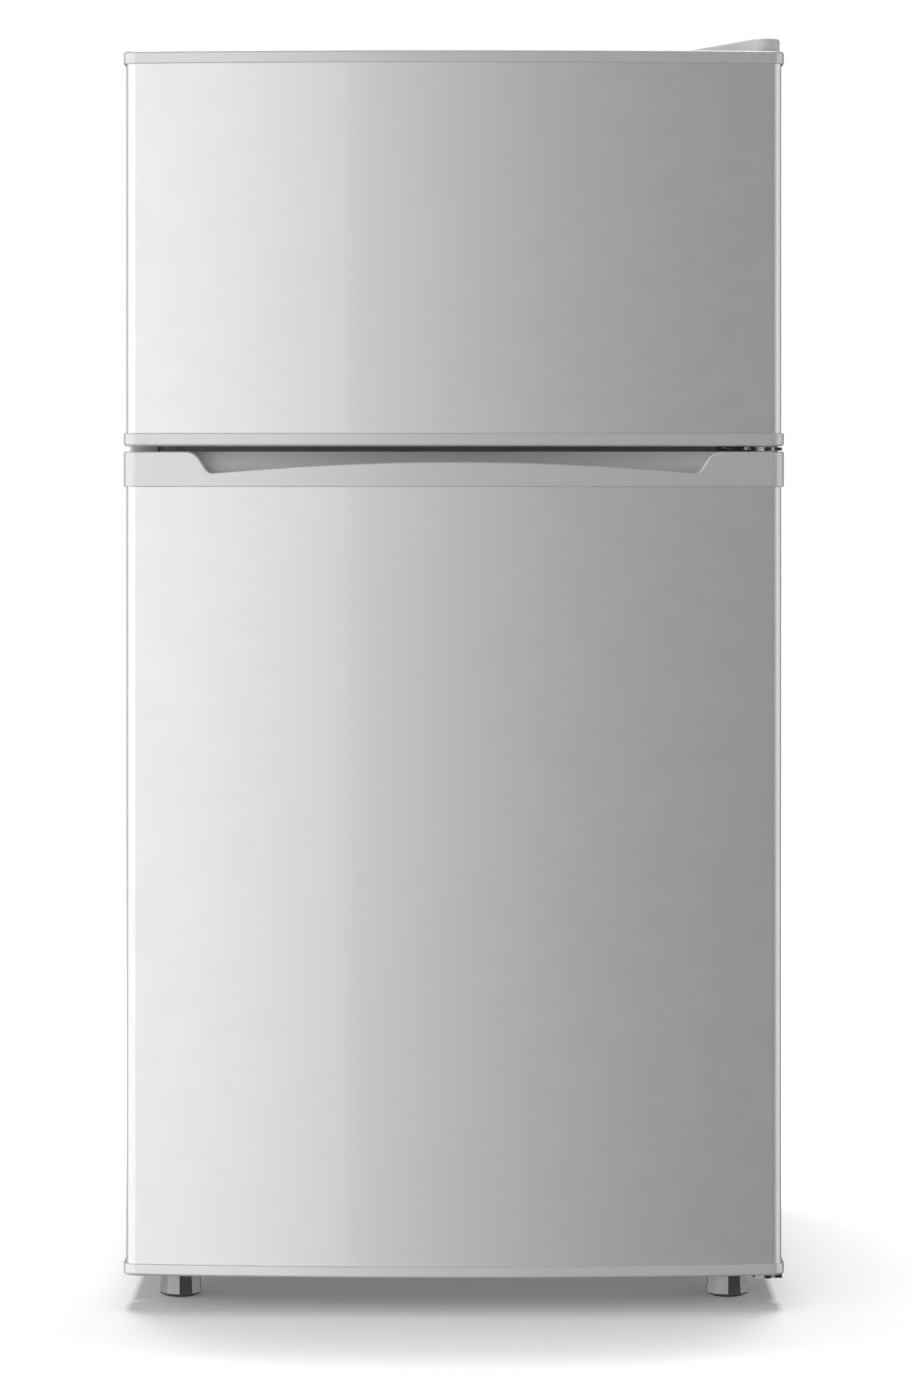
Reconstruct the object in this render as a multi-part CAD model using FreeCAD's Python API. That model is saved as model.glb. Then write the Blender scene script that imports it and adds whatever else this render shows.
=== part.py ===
import FreeCAD, Part
import math
import os

from FreeCAD import Vector

# A compact two-door refrigerator with the freezer on top. Millimetres. +X is to the right of
# someone facing the doors, +Y goes from the doors to the back, +Z is up and the floor is Z = 0.

# ---- overall driving dimensions ----
CAP_WIDTH = 441.0          # widest part: the plastic end caps of the doors
DEPTH = 480.0              # crown of the bowed doors to the back of the cabinet
CABINET_WIDTH = 438.0
CABINET_TOP = 839.5
COVER_TOP = 848.0          # top of the hinge cover, the highest point
BASE_BOTTOM = 22.3         # underside of the base sheet
DOOR_BOTTOM = 23.0
DOOR_GAP = 3.6             # between the two doors
FREEZER_DOOR_HEIGHT = 263.3
FREEZER_DOOR_TOP = 838.9

# ---- doors ----
BOW = 13.0                 # how far the middle of a door stands in front of its sides
DOOR_SIDE_DEPTH = 35.0     # side of a door, front corner to back
CAP_CORNER_RADIUS = 9.5
SIDE_OVERHANG = 1.8        # caps stand proud of the steel skin at the sides
FRONT_OVERHANG = 1.0       # and at the front
CAP_WALL = 2.4
FREE_EDGE_RADIUS = 2.0     # rounding of a cap's outer end
LIP_RADIUS = 1.2           # rounded front edge of the finger recess
SKIRT_EDGE_RADIUS = 0.7    # and of the edge that meets the skin
TOP_CAP_HEIGHT = 8.4
LOW_CAP_HEIGHT = 8.6
HANDLE_CAP_HEIGHT = 23.4
BASE_CAP_HEIGHT = 7.8
SKIN = 0.6                 # painted sheet steel
GASKET_DEPTH = 10.0
GASKET_WIDTH = 14.0
GASKET_HALF_WIDTH = 208.0  # outer edge of the seal ring
DYKE_HALF_WIDTH = 172.0    # outer side of the raised inner border of a door liner
DYKE_WIDTH = 22.0
DYKE_RISE = 30.6           # height of that border above the liner's flat edge
LINER_WALL = 1.5

# ---- finger recess in the lower door's top cap ----
HANDLE_SKIRT = 6.0         # how far the skin goes up inside the cap
GRIP_FOOT = 160.0          # half width of the recess at its floor
GRIP_MOUTH = 178.0         # and at the door's top
GRIP_DEPTH = 14.2          # ends of the lip, below the door's top
GRIP_CROWN = 6.8           # middle of the lip, below the door's top
GRIP_LOW_PULL = 7.0        # how far the S-shaped ends run level at their foot
GRIP_HIGH_PULL = 11.0      # and at their top
GRIP_LIP = 3.2             # thickness of the lip
GRIP_WALL_FOOT = 17.0      # back wall, from the crown of the front: at the floor
GRIP_WALL_HEAD = 25.0      # and at the top
GRIP_FLOOR_RADIUS = 5.0

# ---- hinge line, shared by both doors ----
PIN_X = 208.5
PIN_Y = -210.0
PIN_RADIUS = 4.0
PIN_CLEARANCE = 0.05
PIN_ENGAGEMENT = 11.0
NOSE_RADIUS = 8.5
STOP_RADIUS = 2.7          # stop boss under a door
STOP_OFFSET = 11.8         # from the pin to the boss
PLATE = 2.2                # sheet of the middle hinge
TOP_PLATE = 2.5
BOTTOM_PLATE = 2.8
COVER_DISH = 3.2           # depth of the cover's screw seat

# ---- screws and bolts ----
SCREW_RADIUS = 2.0
SCREW_HEAD_RADIUS = 4.2
SCREW_HEAD = 2.4           # height of the head
SCREW_HOLE = 2.1           # radius of the holes in the sheets
BRACKET_HOLE = 2.3         # and in the hinge plates
COVER_SCREW = (200.0, -120.0)
BOLT_RADIUS = 3.0

# ---- cabinet ----
FLANGE = 10.0              # front return flange of the side and top sheets
TOP_EDGE_RADIUS = 4.0
CAVITY_HALF_WIDTH = 183.0
CAVITY_WALL = 1.6
CAVITY_RADIUS = 12.0
FRIDGE_FLOOR = 64.0
FRIDGE_CEILING = 533.0
FRIDGE_BACK = 200.0
STEP_TOP = 248.0           # floor of the compartment above the compressor bay
STEP_FRONT = 58.0
FREEZER_FLOOR = 606.0
FREEZER_CEILING = 800.0
FREEZER_BACK = 185.0
MULLION_LOW = 560.0
MULLION_HIGH = 590.0
BAY_FRONT = 92.0           # compressor bay
BAY_TOP = 200.0
BASE_SHEET = 1.2
REAR_RAIL_Y = 236.0
BEAM_TOP = 60.0

# ---- shelves, racks and drawer ----
SHELF_LEVELS = (345.0, 440.0)          # underside of each glass shelf
RIB_LEVELS = (297.0, 345.0, 392.0, 440.0)
GLASS = 4.0
SHELF_FRONT = -92.0
RACK_HALF_WIDTH = 149.0
RACK_WALL = 2.0
LUG_LOW = 6.0               # lugs of a door liner, above the underside of their rack
LUG_HIGH = 14.0
FRIDGE_RACKS = {"bottle_rack": (100.0, 80.0), "middle_rack": (262.0, 58.0), "upper_rack": (380.0, 58.0)}
FREEZER_RACKS = {"freezer_lower_rack": (642.0, 44.0), "freezer_upper_rack": (705.0, 44.0)}
FRIDGE_RACK_DEPTH = 88.0
FREEZER_RACK_DEPTH = 60.0
DRAWER_FRONT = -84.0
DRAWER_BACK = 54.0
DRAWER_HALF_WIDTH = 176.0
DRAWER_TOP = 240.0

# ---- ceiling unit of the lower compartment ----
UNIT_HALF_WIDTH = 75.0
UNIT_FRONT = -144.0
UNIT_BACK = -4.0
UNIT_BOTTOM = 497.0
KNOB = (44.0, 514.5)       # X and Z of the thermostat's spindle
SPINDLE_RADIUS = 3.0
SWITCH = (-50.0, 516.0)    # X and Z of the door switch
LAMP = (-34.0, 511.0)      # X and Z of the bulb

# ---- feet ----
FRONT_FOOT_X = 185.5
FRONT_FOOT_Y = -167.0
REAR_FOOT_Y = 208.0
FOOT_FLATS = 10
FOOT_FLAT_RADIUS = 14.0    # centre to flat at the widest
FOOT_GRIP_BOTTOM = 1.2
STUD_RADIUS = 4.0
STUD_TOP = 46.0

# ---- compressor set ----
COMPRESSOR = (-30.0, 166.0)
COMPRESSOR_BASE = 38.0
COMPRESSOR_HEIGHT = 128.0
COMPRESSOR_FOOT = (70.0, 50.0)
GROMMET_TOP = 44.5
DRAIN = (-30.0, 187.0)
COIL_TUBE = 2.4            # radius of the condenser tube
COIL_END_Y = 150.0
COIL_END_Z = 170.0
PIPE_BEND = 7.0
SUCTION_X = 118.0
CAPILLARY_X = 134.0
DRIER = (118.0, 190.0)
CORD_INLET = (150.0, 34.0)
CORD_INLET_RADIUS = 4.0

# ---- worked out from the above ----
CAP_HALF = CAP_WIDTH / 2
FRONT = -DEPTH / 2
BACK = DEPTH / 2
DOOR_BACK = FRONT + BOW + DOOR_SIDE_DEPTH
CABINET_FRONT = DOOR_BACK + GASKET_DEPTH
FREEZER_DOOR_BOTTOM = FREEZER_DOOR_TOP - FREEZER_DOOR_HEIGHT
FRIDGE_DOOR_TOP = FREEZER_DOOR_BOTTOM - DOOR_GAP
CABINET_HALF = CABINET_WIDTH / 2
LINER_PLANE = DOOR_BACK - SKIN
INNER_HALF = CABINET_HALF - SKIN
LINER_HALF = CAVITY_HALF_WIDTH + CAVITY_WALL
COIL_X = INNER_HALF - COIL_TUBE - 0.3
SHELL_BOTTOM = COMPRESSOR_BASE + 2.5
MULLION_PLATE_Z = FRIDGE_DOOR_TOP + (DOOR_GAP - PLATE) / 2
Z_AXIS = Vector(0, 0, 1)
Y_AXIS = Vector(0, 1, 0)
X_AXIS = Vector(1, 0, 0)


# ---- shape helpers ----
def block(x0, x1, y0, y1, z0, z1):
    return Part.makeBox(x1 - x0, y1 - y0, z1 - z0, Vector(x0, y0, z0))


def rod(radius, start, end):
    run = Vector(*end) - Vector(*start)
    return Part.makeCylinder(radius, run.Length, Vector(*start), run)


def upright(radius, place, z0, z1):
    """A vertical rod at an (x, y) place."""
    return rod(radius, (*place, z0), (*place, z1))


def lengthwise(radius, place, y0, y1):
    """A rod along Y at an (x, z) place."""
    x, z = place
    return rod(radius, (x, y0, z), (x, y1, z))


def fuse(shapes):
    shapes = list(shapes)
    return shapes[0].multiFuse(shapes[1:]).removeSplitter() if len(shapes) > 1 else shapes[0]


def cut(shape, tools):
    tools = list(tools)
    return shape.cut(tools) if tools else shape


def group(shapes):
    return Part.makeCompound([solid for shape in shapes for solid in shape.Solids])


def cut_each(shape, tools):
    return group([solid.cut(tools) for solid in shape.Solids])


def moved(shape, x, y):
    copy = shape.copy()
    copy.translate(Vector(x, y, 0))
    return copy


def mirrored(shape):
    return shape.mirror(Vector(0, 0, 0), X_AXIS)


def polygon_face(points):
    points = [Vector(*p) for p in points]
    return Part.Face(Part.makePolygon(points + points[:1]))


def along(edge, axis):
    """True for a straight edge parallel to the axis."""
    if not isinstance(edge.Curve, (Part.Line, Part.LineSegment)):
        return False
    return edge.tangentAt(edge.FirstParameter).cross(axis).Length < 1e-6


def rounded(shape, radius, choose):
    """The shape with the edges that choose() picks rounded."""
    edges = [e for e in shape.Edges if choose(e)]
    return shape.makeFillet(radius, edges) if edges else shape


def rounded_block(x0, x1, y0, y1, z0, z1, radius, axis):
    """A block whose four edges along one axis are rounded."""
    return rounded(block(x0, x1, y0, y1, z0, z1), radius, lambda e: along(e, axis))


def in_plane(edge, value, part):
    """True for an edge that lies at one X, Y or Z value."""
    box = edge.BoundBox
    low, high = getattr(box, part + "Min"), getattr(box, part + "Max")
    return abs(low - value) < 0.01 and abs(high - value) < 0.01


def bent_path(points, bend):
    """Straight runs joined by tangent arcs of one bend radius."""
    points = [Vector(*p) for p in points]
    edges, start = [], points[0]
    for before, corner, after in zip(points, points[1:], points[2:]):
        back_way, on_way = (before - corner).normalize(), (after - corner).normalize()
        half_angle = math.acos(max(-1, min(1, back_way.dot(on_way)))) / 2
        trim = bend / math.tan(half_angle)
        enter, leave = corner + back_way * trim, corner + on_way * trim
        bisector = (back_way + on_way).normalize()
        middle = corner + bisector * (bend / math.sin(half_angle) - bend)
        edges += [Part.makeLine(start, enter), Part.Arc(enter, middle, leave).toShape()]
        start = leave
    edges.append(Part.makeLine(start, points[-1]))
    return Part.Wire(edges)


def tube(points, radius, bend):
    path = bent_path(points, bend)
    direction = Vector(*points[1]) - Vector(*points[0])
    ring = Part.Wire(Part.makeCircle(radius, Vector(*points[0]), direction))
    return path.makePipeShell([ring], True, False)


def screw(position, direction, shank=11.0):
    """A pan-head screw whose head stands on the position, with a cross recess."""
    position, direction = Vector(*position), Vector(*direction)
    out = direction * -1
    cap = Part.makeCylinder(SCREW_HEAD_RADIUS, SCREW_HEAD, position, out)
    cap = rounded(cap, SCREW_HEAD / 2, lambda e: (e.CenterOfMass - position).dot(out) > SCREW_HEAD - 0.01)
    stem = Part.makeCylinder(SCREW_RADIUS, shank, position, direction)
    side = direction.cross(Z_AXIS if abs(direction.z) < 0.5 else X_AXIS).normalize()
    turn_to_face = FreeCAD.Rotation(side, Vector(), out, "ZXY")
    on_head = FreeCAD.Placement(position + out * (SCREW_HEAD + 0.01), turn_to_face)
    slots = []
    for turn in (0, 90):
        bar = Part.makeBox(SCREW_HEAD_RADIUS, 0.9, 1.4, Vector(-SCREW_HEAD_RADIUS / 2, -0.45, -1.4))
        bar.rotate(Vector(0, 0, 0), Z_AXIS, turn)
        bar.Placement = on_head.multiply(bar.Placement)
        slots.append(bar)
    return cut(fuse([cap, stem]), slots)


# ---- doors ----
def door_prism(side_inset, front_inset, z0, z1, back=DOOR_BACK):
    """The door's plan shape, bowed in front with rounded front corners, as a prism."""
    half = CAP_HALF - side_inset
    edge_y, crown_y = FRONT + BOW + front_inset, FRONT + front_inset
    left, right = Vector(-half, edge_y, z0), Vector(half, edge_y, z0)
    wire = Part.Wire([
        Part.Arc(left, Vector(0, crown_y, z0), right).toShape(),
        Part.makeLine(right, Vector(half, back, z0)),
        Part.makeLine(Vector(half, back, z0), Vector(-half, back, z0)),
        Part.makeLine(Vector(-half, back, z0), left),
    ])
    prism = Part.Face(wire).extrude(Vector(0, 0, z1 - z0))
    corner = CAP_CORNER_RADIUS - side_inset
    return rounded(prism, corner, lambda e: along(e, Z_AXIS) and e.BoundBox.YMax < edge_y + 0.1)


def skin_prism(inset, z0, z1, back=DOOR_BACK):
    return door_prism(SIDE_OVERHANG + inset, FRONT_OVERHANG + inset, z0, z1, back)


def door_panel(z0, z1):
    """Bowed steel skin, folded round both sides with a return flange at the back."""
    outer = skin_prism(0, z0, z1)
    inner = skin_prism(SKIN, z0 - 1, z1 + 1, DOOR_BACK - SKIN)
    half = CAP_HALF - SIDE_OVERHANG
    mouth = block(-half + 9, half - 9, DOOR_BACK - 5, DOOR_BACK + 1, z0 - 1, z1 + 1)
    return cut(outer, [inner, mouth])


def hinge_rod(z0, z1, radius=6.0):
    """A rod on the doors' hinge line; the default is a bushing's seat."""
    return upright(radius, (PIN_X, PIN_Y), z0, z1)


def rounded_rim(shape, radius, z):
    """A cap with its front and side edges rounded at one height."""
    return rounded(shape, radius, lambda e: in_plane(e, z, "Z") and e.BoundBox.YMin < DOOR_BACK - 0.1)


def end_cap(z0, z1, end_at_top):
    """Plastic end cap: an end plate with a skirt round the front and sides."""
    body = door_prism(0, 0, z0, z1)
    if end_at_top:
        pocket = skin_prism(-0.1, z0 - 1, z1 - CAP_WALL, DOOR_BACK + 1)
    else:
        pocket = skin_prism(-0.1, z0 + CAP_WALL, z1 + 1, DOOR_BACK + 1)
    free_end, skirt_end = (z1, z0) if end_at_top else (z0, z1)
    for z, radius in ((free_end, FREE_EDGE_RADIUS), (skirt_end, SKIRT_EDGE_RADIUS)):
        body = rounded_rim(body, radius, z)
    return cut(body, [pocket, hinge_rod(z0 - 1, z1 + 1)])


def stop_boss(z_cap):
    """Boss under a door that meets the hinge's ear when the door is fully open."""
    return upright(STOP_RADIUS, (PIN_X - STOP_OFFSET, PIN_Y), z_cap - 2.6, z_cap + 1)


def bezier(poles):
    curve = Part.BezierCurve()
    curve.setPoles(poles)
    return curve.toShape()


def grip_outline(y, reach):
    """Front view of the cut in the front lip: a low arc between two S-shaped ends."""
    top = FRIDGE_DOOR_TOP
    low = top - GRIP_DEPTH
    right_poles = [
        Vector(GRIP_FOOT, y, low),
        Vector(GRIP_FOOT + GRIP_LOW_PULL, y, low),
        Vector(GRIP_MOUTH - GRIP_HIGH_PULL, y, top),
        Vector(GRIP_MOUTH, y, top),
    ]
    left_poles = [Vector(-pole.x, y, pole.z) for pole in reversed(right_poles)]
    arc = Part.Arc(Vector(-GRIP_FOOT, y, low), Vector(0, y, top - GRIP_CROWN), Vector(GRIP_FOOT, y, low))
    lid = [
        Vector(GRIP_MOUTH, y, top),
        Vector(GRIP_MOUTH, y, top + 5),
        Vector(-GRIP_MOUTH, y, top + 5),
        Vector(-GRIP_MOUTH, y, top),
    ]
    lid_sides = [Part.makeLine(a, b) for a, b in zip(lid, lid[1:])]
    wire = Part.Wire([bezier(left_poles), arc.toShape(), bezier(right_poles)] + lid_sides)
    return Part.Face(wire).extrude(Vector(0, reach, 0))


def grip_well(z0, z1):
    """Room for the fingers behind the lip; its back wall leans away from the hand."""
    foot, head, reach = FRONT + GRIP_WALL_FOOT, FRONT + GRIP_WALL_HEAD, GRIP_MOUTH - 1
    profile = [(FRONT, z0), (foot, z0), (head, z1), (FRONT, z1)]
    room = polygon_face([(-reach, y, z) for y, z in profile]).extrude(Vector(2 * reach, 0, 0))
    well = door_prism(GRIP_LIP, GRIP_LIP, z0, z1).common(room)
    return rounded(well, GRIP_FLOOR_RADIUS, lambda e: in_plane(e, z0, "Z") and in_plane(e, foot, "Y"))


def handle_cap():
    """Top cap of the lower door, with a wide finger recess behind a lowered front lip."""
    z0, z1 = FRIDGE_DOOR_TOP - HANDLE_CAP_HEIGHT, FRIDGE_DOOR_TOP
    body = door_prism(0, 0, z0, z1)
    body = rounded_rim(body, SKIRT_EDGE_RADIUS, z0)
    pocket = skin_prism(-0.1, z0 - 1, z0 + HANDLE_SKIRT, DOOR_BACK + 1)
    well = grip_well(z0 + HANDLE_SKIRT + 2.0, z1 + 1)
    body = cut(body, [pocket, well, grip_outline(FRONT - 1, BOW + GRIP_LIP + 2)])
    body = rounded(body, LIP_RADIUS, lambda e: on_bow(e, z1 - 20, z1 - 0.5))
    return cut(body, [hinge_rod(z0 - 1, z1 + 1)])


def on_bow(edge, z0, z1):
    """True for an edge of the recess that lies on the bowed front, between two heights."""
    box = edge.BoundBox
    if box.ZMax < z0 or box.ZMin > z1 or max(abs(box.XMin), abs(box.XMax)) > GRIP_MOUTH + 2:
        return False
    radius = (CAP_HALF ** 2 + BOW ** 2) / (2 * BOW)
    first, last = edge.FirstParameter, edge.LastParameter
    points = [edge.valueAt(at) for at in (first, (first + last) / 2, last)]
    return all(abs((p - Vector(0, FRONT + radius, p.z)).Length - radius) < 0.05 for p in points)


def bushing(z_face, inward):
    """Flanged nylon sleeve for a hinge pin; z_face is the door's end, inward is +1 or -1 into it."""
    end = z_face + inward * (PIN_ENGAGEMENT + 1.5)
    sleeve = fuse([hinge_rod(z_face, end, 6.0), hinge_rod(z_face - inward * 0.4, z_face, 7.4)])
    bore = hinge_rod(z_face - inward, end + inward, PIN_RADIUS + PIN_CLEARANCE)
    return sleeve.cut(bore)


def dyke_block(grow, y0, y1, z0, z1):
    half = DYKE_HALF_WIDTH + grow
    return rounded_block(-half, half, y0, y1, z0 - grow, z1 + grow, 12 + grow, Y_AXIS)


def dyke_pocket(grow, y0, y1, z0, z1):
    half = DYKE_HALF_WIDTH - DYKE_WIDTH + grow
    low, high = z0 + DYKE_WIDTH - grow, z1 - DYKE_WIDTH + grow
    return rounded_block(-half, half, y0, y1, low, high, 9 + grow, Y_AXIS)


def rack_lugs(racks):
    lugs = []
    for z, height in racks.values():
        lug = block(146, 151, LINER_PLANE + 15, LINER_PLANE + 24, z + LUG_LOW, z + LUG_HIGH)
        lugs += [lug, mirrored(lug)]
    return lugs


def door_liner(door, z0, z1, racks):
    """Thermoformed inner panel: flat edge, raised border and lugs that carry the racks."""
    back, top = LINER_PLANE - LINER_WALL, LINER_PLANE + DYKE_RISE
    flat = block(-216, 216, back, LINER_PLANE, door[0] + CAP_WALL + 0.4, door[1] - CAP_WALL - 0.4)
    outer = rounded(dyke_block(0, back, top, z0, z1), 5, lambda e: in_plane(e, top, "Y"))
    ring = outer.cut(dyke_pocket(0, LINER_PLANE, top + 1, z0, z1))
    inner_half = DYKE_HALF_WIDTH - DYKE_WIDTH + 0.5

    def inner_rim(edge):
        box = edge.BoundBox
        return in_plane(edge, top, "Y") and box.XMax < inner_half and box.XMin > -inner_half

    ring = rounded(ring, 4, inner_rim)
    body = fuse([flat, ring]).cut(dyke_fill(z0, z1))
    return fuse([body] + rack_lugs(racks))


def dyke_fill(z0, z1):
    """The room inside the raised border, which the foam fills."""
    top = LINER_PLANE + DYKE_RISE - LINER_WALL
    low = LINER_PLANE - LINER_WALL
    outer = rounded(dyke_block(-LINER_WALL, low - 1, top, z0, z1), 3.5, lambda e: in_plane(e, top, "Y"))
    return outer.cut(dyke_pocket(LINER_WALL, low, top + 1, z0, z1))


def door_foam(door, z0, z1, cap_rooms):
    """Insulation: a slab behind the skin, and four bars inside the liner's border."""
    low = LINER_PLANE - LINER_WALL
    slab = skin_prism(SKIN + 0.05, door[0] + CAP_WALL + 0.1, door[1] - cap_rooms, low)
    ring = dyke_fill(z0, z1)
    half, width = DYKE_HALF_WIDTH, DYKE_WIDTH
    rooms = [
        block(-half, -half + width, low, BACK, z0, z1),
        block(half - width, half, low, BACK, z0, z1),
        block(-half + width, half - width, low, BACK, z0, z0 + width),
        block(-half + width, half - width, low, BACK, z1 - width, z1),
    ]
    return group([slab] + [ring.common(room) for room in rooms])


def gasket(z0, z1):
    """Magnetic door seal: four strips with mitred, welded corners."""
    half, width = GASKET_HALF_WIDTH, GASKET_WIDTH
    y0, y1 = DOOR_BACK, CABINET_FRONT - 0.4
    corners = [(-half, z0), (half, z0), (half, z1), (-half, z1)]
    inner = [(-half + width, z0 + width), (half - width, z0 + width),
             (half - width, z1 - width), (-half + width, z1 - width)]
    strips = []
    for i in range(4):
        j = (i + 1) % 4
        face = polygon_face([(x, y0, z) for x, z in (corners[i], corners[j], inner[j], inner[i])])
        strips.append(face.extrude(Vector(0, y1 - y0, 0)))
    return group(strips)


def door_rack(z, height, depth):
    """Open-topped door rack with rounded front corners and side slots for the lugs."""
    half, wall = RACK_HALF_WIDTH, RACK_WALL
    y0, y1 = LINER_PLANE + 0.8, LINER_PLANE + depth

    def shell(inset, z0, z1):
        solid = block(-half + inset, half - inset, y0 + inset, y1 - inset, z0, z1)
        return rounded(solid, 16 - inset, lambda e: along(e, Z_AXIS) and e.BoundBox.YMin > y0 + depth / 2)

    outer = rounded(shell(0, z, z + height), 3, lambda e: in_plane(e, z, "Z") and e.BoundBox.YMin > y0 + 1)
    body = outer.cut(shell(wall, z + wall, z + height + 1))
    low_back = block(-half + 20, half - 20, y0 - 1, y0 + wall + 0.5, z + height * 0.6, z + height + 1)
    slot = block(145.6, 151, LINER_PLANE + 14.7, LINER_PLANE + 24.3, z - 1, z + LUG_HIGH)
    return cut(body, [low_back, slot, mirrored(slot)])


def make_doors():
    nodes = {}
    low_door = (DOOR_BOTTOM, FRIDGE_DOOR_TOP)
    high_door = (FREEZER_DOOR_BOTTOM, FREEZER_DOOR_TOP)
    low_dyke = (FRIDGE_FLOOR + 6, FRIDGE_CEILING - 6)
    high_dyke = (FREEZER_FLOOR + 6, FREEZER_CEILING - 6)

    nodes["freezer_door_panel"] = door_panel(high_door[0] + CAP_WALL + 0.1, high_door[1] - CAP_WALL - 0.1)
    nodes["freezer_door_top_cap"] = end_cap(high_door[1] - TOP_CAP_HEIGHT, high_door[1], True)
    nodes["freezer_door_bottom_cap"] = fuse([
        end_cap(high_door[0], high_door[0] + LOW_CAP_HEIGHT, False), stop_boss(high_door[0])])
    nodes["freezer_door_liner"] = door_liner(high_door, *high_dyke, FREEZER_RACKS)
    nodes["freezer_door_gasket"] = gasket(FREEZER_FLOOR - 16, FREEZER_CEILING + 18)
    nodes["freezer_door_bushings"] = group([bushing(high_door[0], 1), bushing(high_door[1], -1)])
    nodes["freezer_door_foam"] = cut_each(
        door_foam(high_door, *high_dyke, CAP_WALL + 0.1),
        [hinge_rod(high_door[0], high_door[0] + 14), hinge_rod(high_door[1] - 14, high_door[1])])

    handle_low = low_door[1] - HANDLE_CAP_HEIGHT
    nodes["fridge_door_panel"] = door_panel(low_door[0] + CAP_WALL + 0.1, handle_low + 5.9)
    nodes["fridge_door_handle_cap"] = handle_cap()
    nodes["fridge_door_bottom_cap"] = fuse([
        end_cap(low_door[0], low_door[0] + BASE_CAP_HEIGHT, False), stop_boss(low_door[0])])
    nodes["fridge_door_liner"] = door_liner(
        (low_door[0], handle_low + 8.8), *low_dyke, FRIDGE_RACKS)
    nodes["fridge_door_gasket"] = gasket(FRIDGE_FLOOR - 22, FRIDGE_CEILING + 10)
    nodes["fridge_door_bushings"] = group([bushing(low_door[0], 1), bushing(low_door[1], -1)])
    nodes["fridge_door_foam"] = cut_each(
        door_foam(low_door, *low_dyke, HANDLE_CAP_HEIGHT - 5.9),
        [hinge_rod(low_door[0], low_door[0] + 14)])
    for racks, depth in ((FREEZER_RACKS, FREEZER_RACK_DEPTH), (FRIDGE_RACKS, FRIDGE_RACK_DEPTH)):
        for name, (z, height) in racks.items():
            nodes[name] = door_rack(z, height, depth)
    return nodes


# ---- cabinet ----
def side_panel():
    """Right side sheet with return flanges at the front and the back."""
    x0, x1 = CABINET_HALF - SKIN, CABINET_HALF
    top = CABINET_TOP - 4.2
    sheet = block(x0, x1, CABINET_FRONT, BACK, BASE_BOTTOM, top)
    front = block(x1 - FLANGE, x1, CABINET_FRONT, CABINET_FRONT + SKIN, BASE_BOTTOM, top)
    back = block(x1 - 12, x1, BACK - SKIN, BACK, BASE_BOTTOM, top)
    return fuse([sheet, front, back])


def top_panel():
    """Top sheet, turned down over the side sheets with rounded long edges."""
    top, under, turn_down = CABINET_TOP, CABINET_TOP - SKIN, CABINET_TOP - 12
    front, low = CABINET_FRONT, turn_down - 2
    outer = block(-CABINET_HALF, CABINET_HALF, CABINET_FRONT, BACK, turn_down, top)
    outer = rounded(outer, TOP_EDGE_RADIUS, lambda e: along(e, Y_AXIS) and in_plane(e, top, "Z"))
    core = block(-INNER_HALF, INNER_HALF, CABINET_FRONT + SKIN, BACK - SKIN, turn_down - 1, under)
    core = rounded(core, TOP_EDGE_RADIUS - SKIN, lambda e: along(e, Y_AXIS) and in_plane(e, under, "Z"))
    side_room = block(CABINET_HALF - 13, CABINET_HALF + 1, front - 1, BACK + 1, low, top - 4.1)
    mouth = block(-INNER_HALF, INNER_HALF, front - 1, front + 1, low, top - FLANGE)
    return cut(outer, [core, side_room, mirrored(side_room), mouth] + top_screw_holes())


def top_screw_points():
    return [(205.0, -166.0), (193.0, -150.0), (178.0, -138.0)]


def top_screw_holes():
    """Clearance holes for the hinge screws, on both sides, and for the cover's screw."""
    places = [(side * x, y) for x, y in top_screw_points() for side in (1, -1)] + [COVER_SCREW]
    return [upright(SCREW_HOLE, place, CABINET_TOP - 12, CABINET_TOP + 1) for place in places]


def back_panel():
    """Sheet closing the back above the compressor bay, with pressed stiffening ribs."""
    half, y = CABINET_HALF - 12.2, BACK - 1.8
    sheet = block(-half, half, y, y + SKIN, BAY_TOP + 1, CABINET_TOP - 12.2)
    ribs = []
    for i in range(5):
        z = BAY_TOP + 70 + i * 120
        rib = rounded_block(-half + 40, half - 40, y, BACK, z, z + 22, 10, Y_AXIS)
        ribs.append(rounded(rib, 1.0, lambda e: in_plane(e, BACK, "Y")))
    return fuse([sheet] + ribs)


def front_foot_points():
    return [(side * FRONT_FOOT_X, FRONT_FOOT_Y) for side in (1, -1)]


def base_frame():
    """Welded base: floor sheet, front beam, rear rail and two side rails, with foot inserts."""
    z0, z1 = BASE_BOTTOM, BASE_BOTTOM + BASE_SHEET
    half, rail_y = INNER_HALF - 0.2, REAR_RAIL_Y
    holes = [upright(STUD_RADIUS + 1, place, 0, 60) for place in front_foot_points()]
    holes += [upright(BOLT_RADIUS + 0.1, place, 0, 60) for place in compressor_feet()]
    holes += [upright(SCREW_HOLE, place, 0, 60) for place in bottom_screw_points()]
    sheet = cut(block(-half, half, CABINET_FRONT + 1.3, BACK - SKIN - 0.1, z0, z1), holes)
    front_beam = block(-half + 9.6, half - 9.6, CABINET_FRONT, CABINET_FRONT + BASE_SHEET, z0, BEAM_TOP)
    rear_rail = block(-half, half, rail_y, rail_y + BASE_SHEET, z1, z1 + 22)
    rear_rail = rear_rail.cut(lengthwise(6.5, CORD_INLET, rail_y - 5, rail_y + 5))
    side_rail = block(half - BASE_SHEET, half, BAY_FRONT + 1, rail_y - 0.1, z1, z1 + 20)
    inserts = []
    for place in front_foot_points():
        bore = upright(STUD_RADIUS + PIN_CLEARANCE, place, 0, 60)
        inserts.append(upright(7.5, place, z1, z1 + 10).cut(bore))
    return group([sheet, front_beam, rear_rail, side_rail, mirrored(side_rail)] + inserts)


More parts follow.
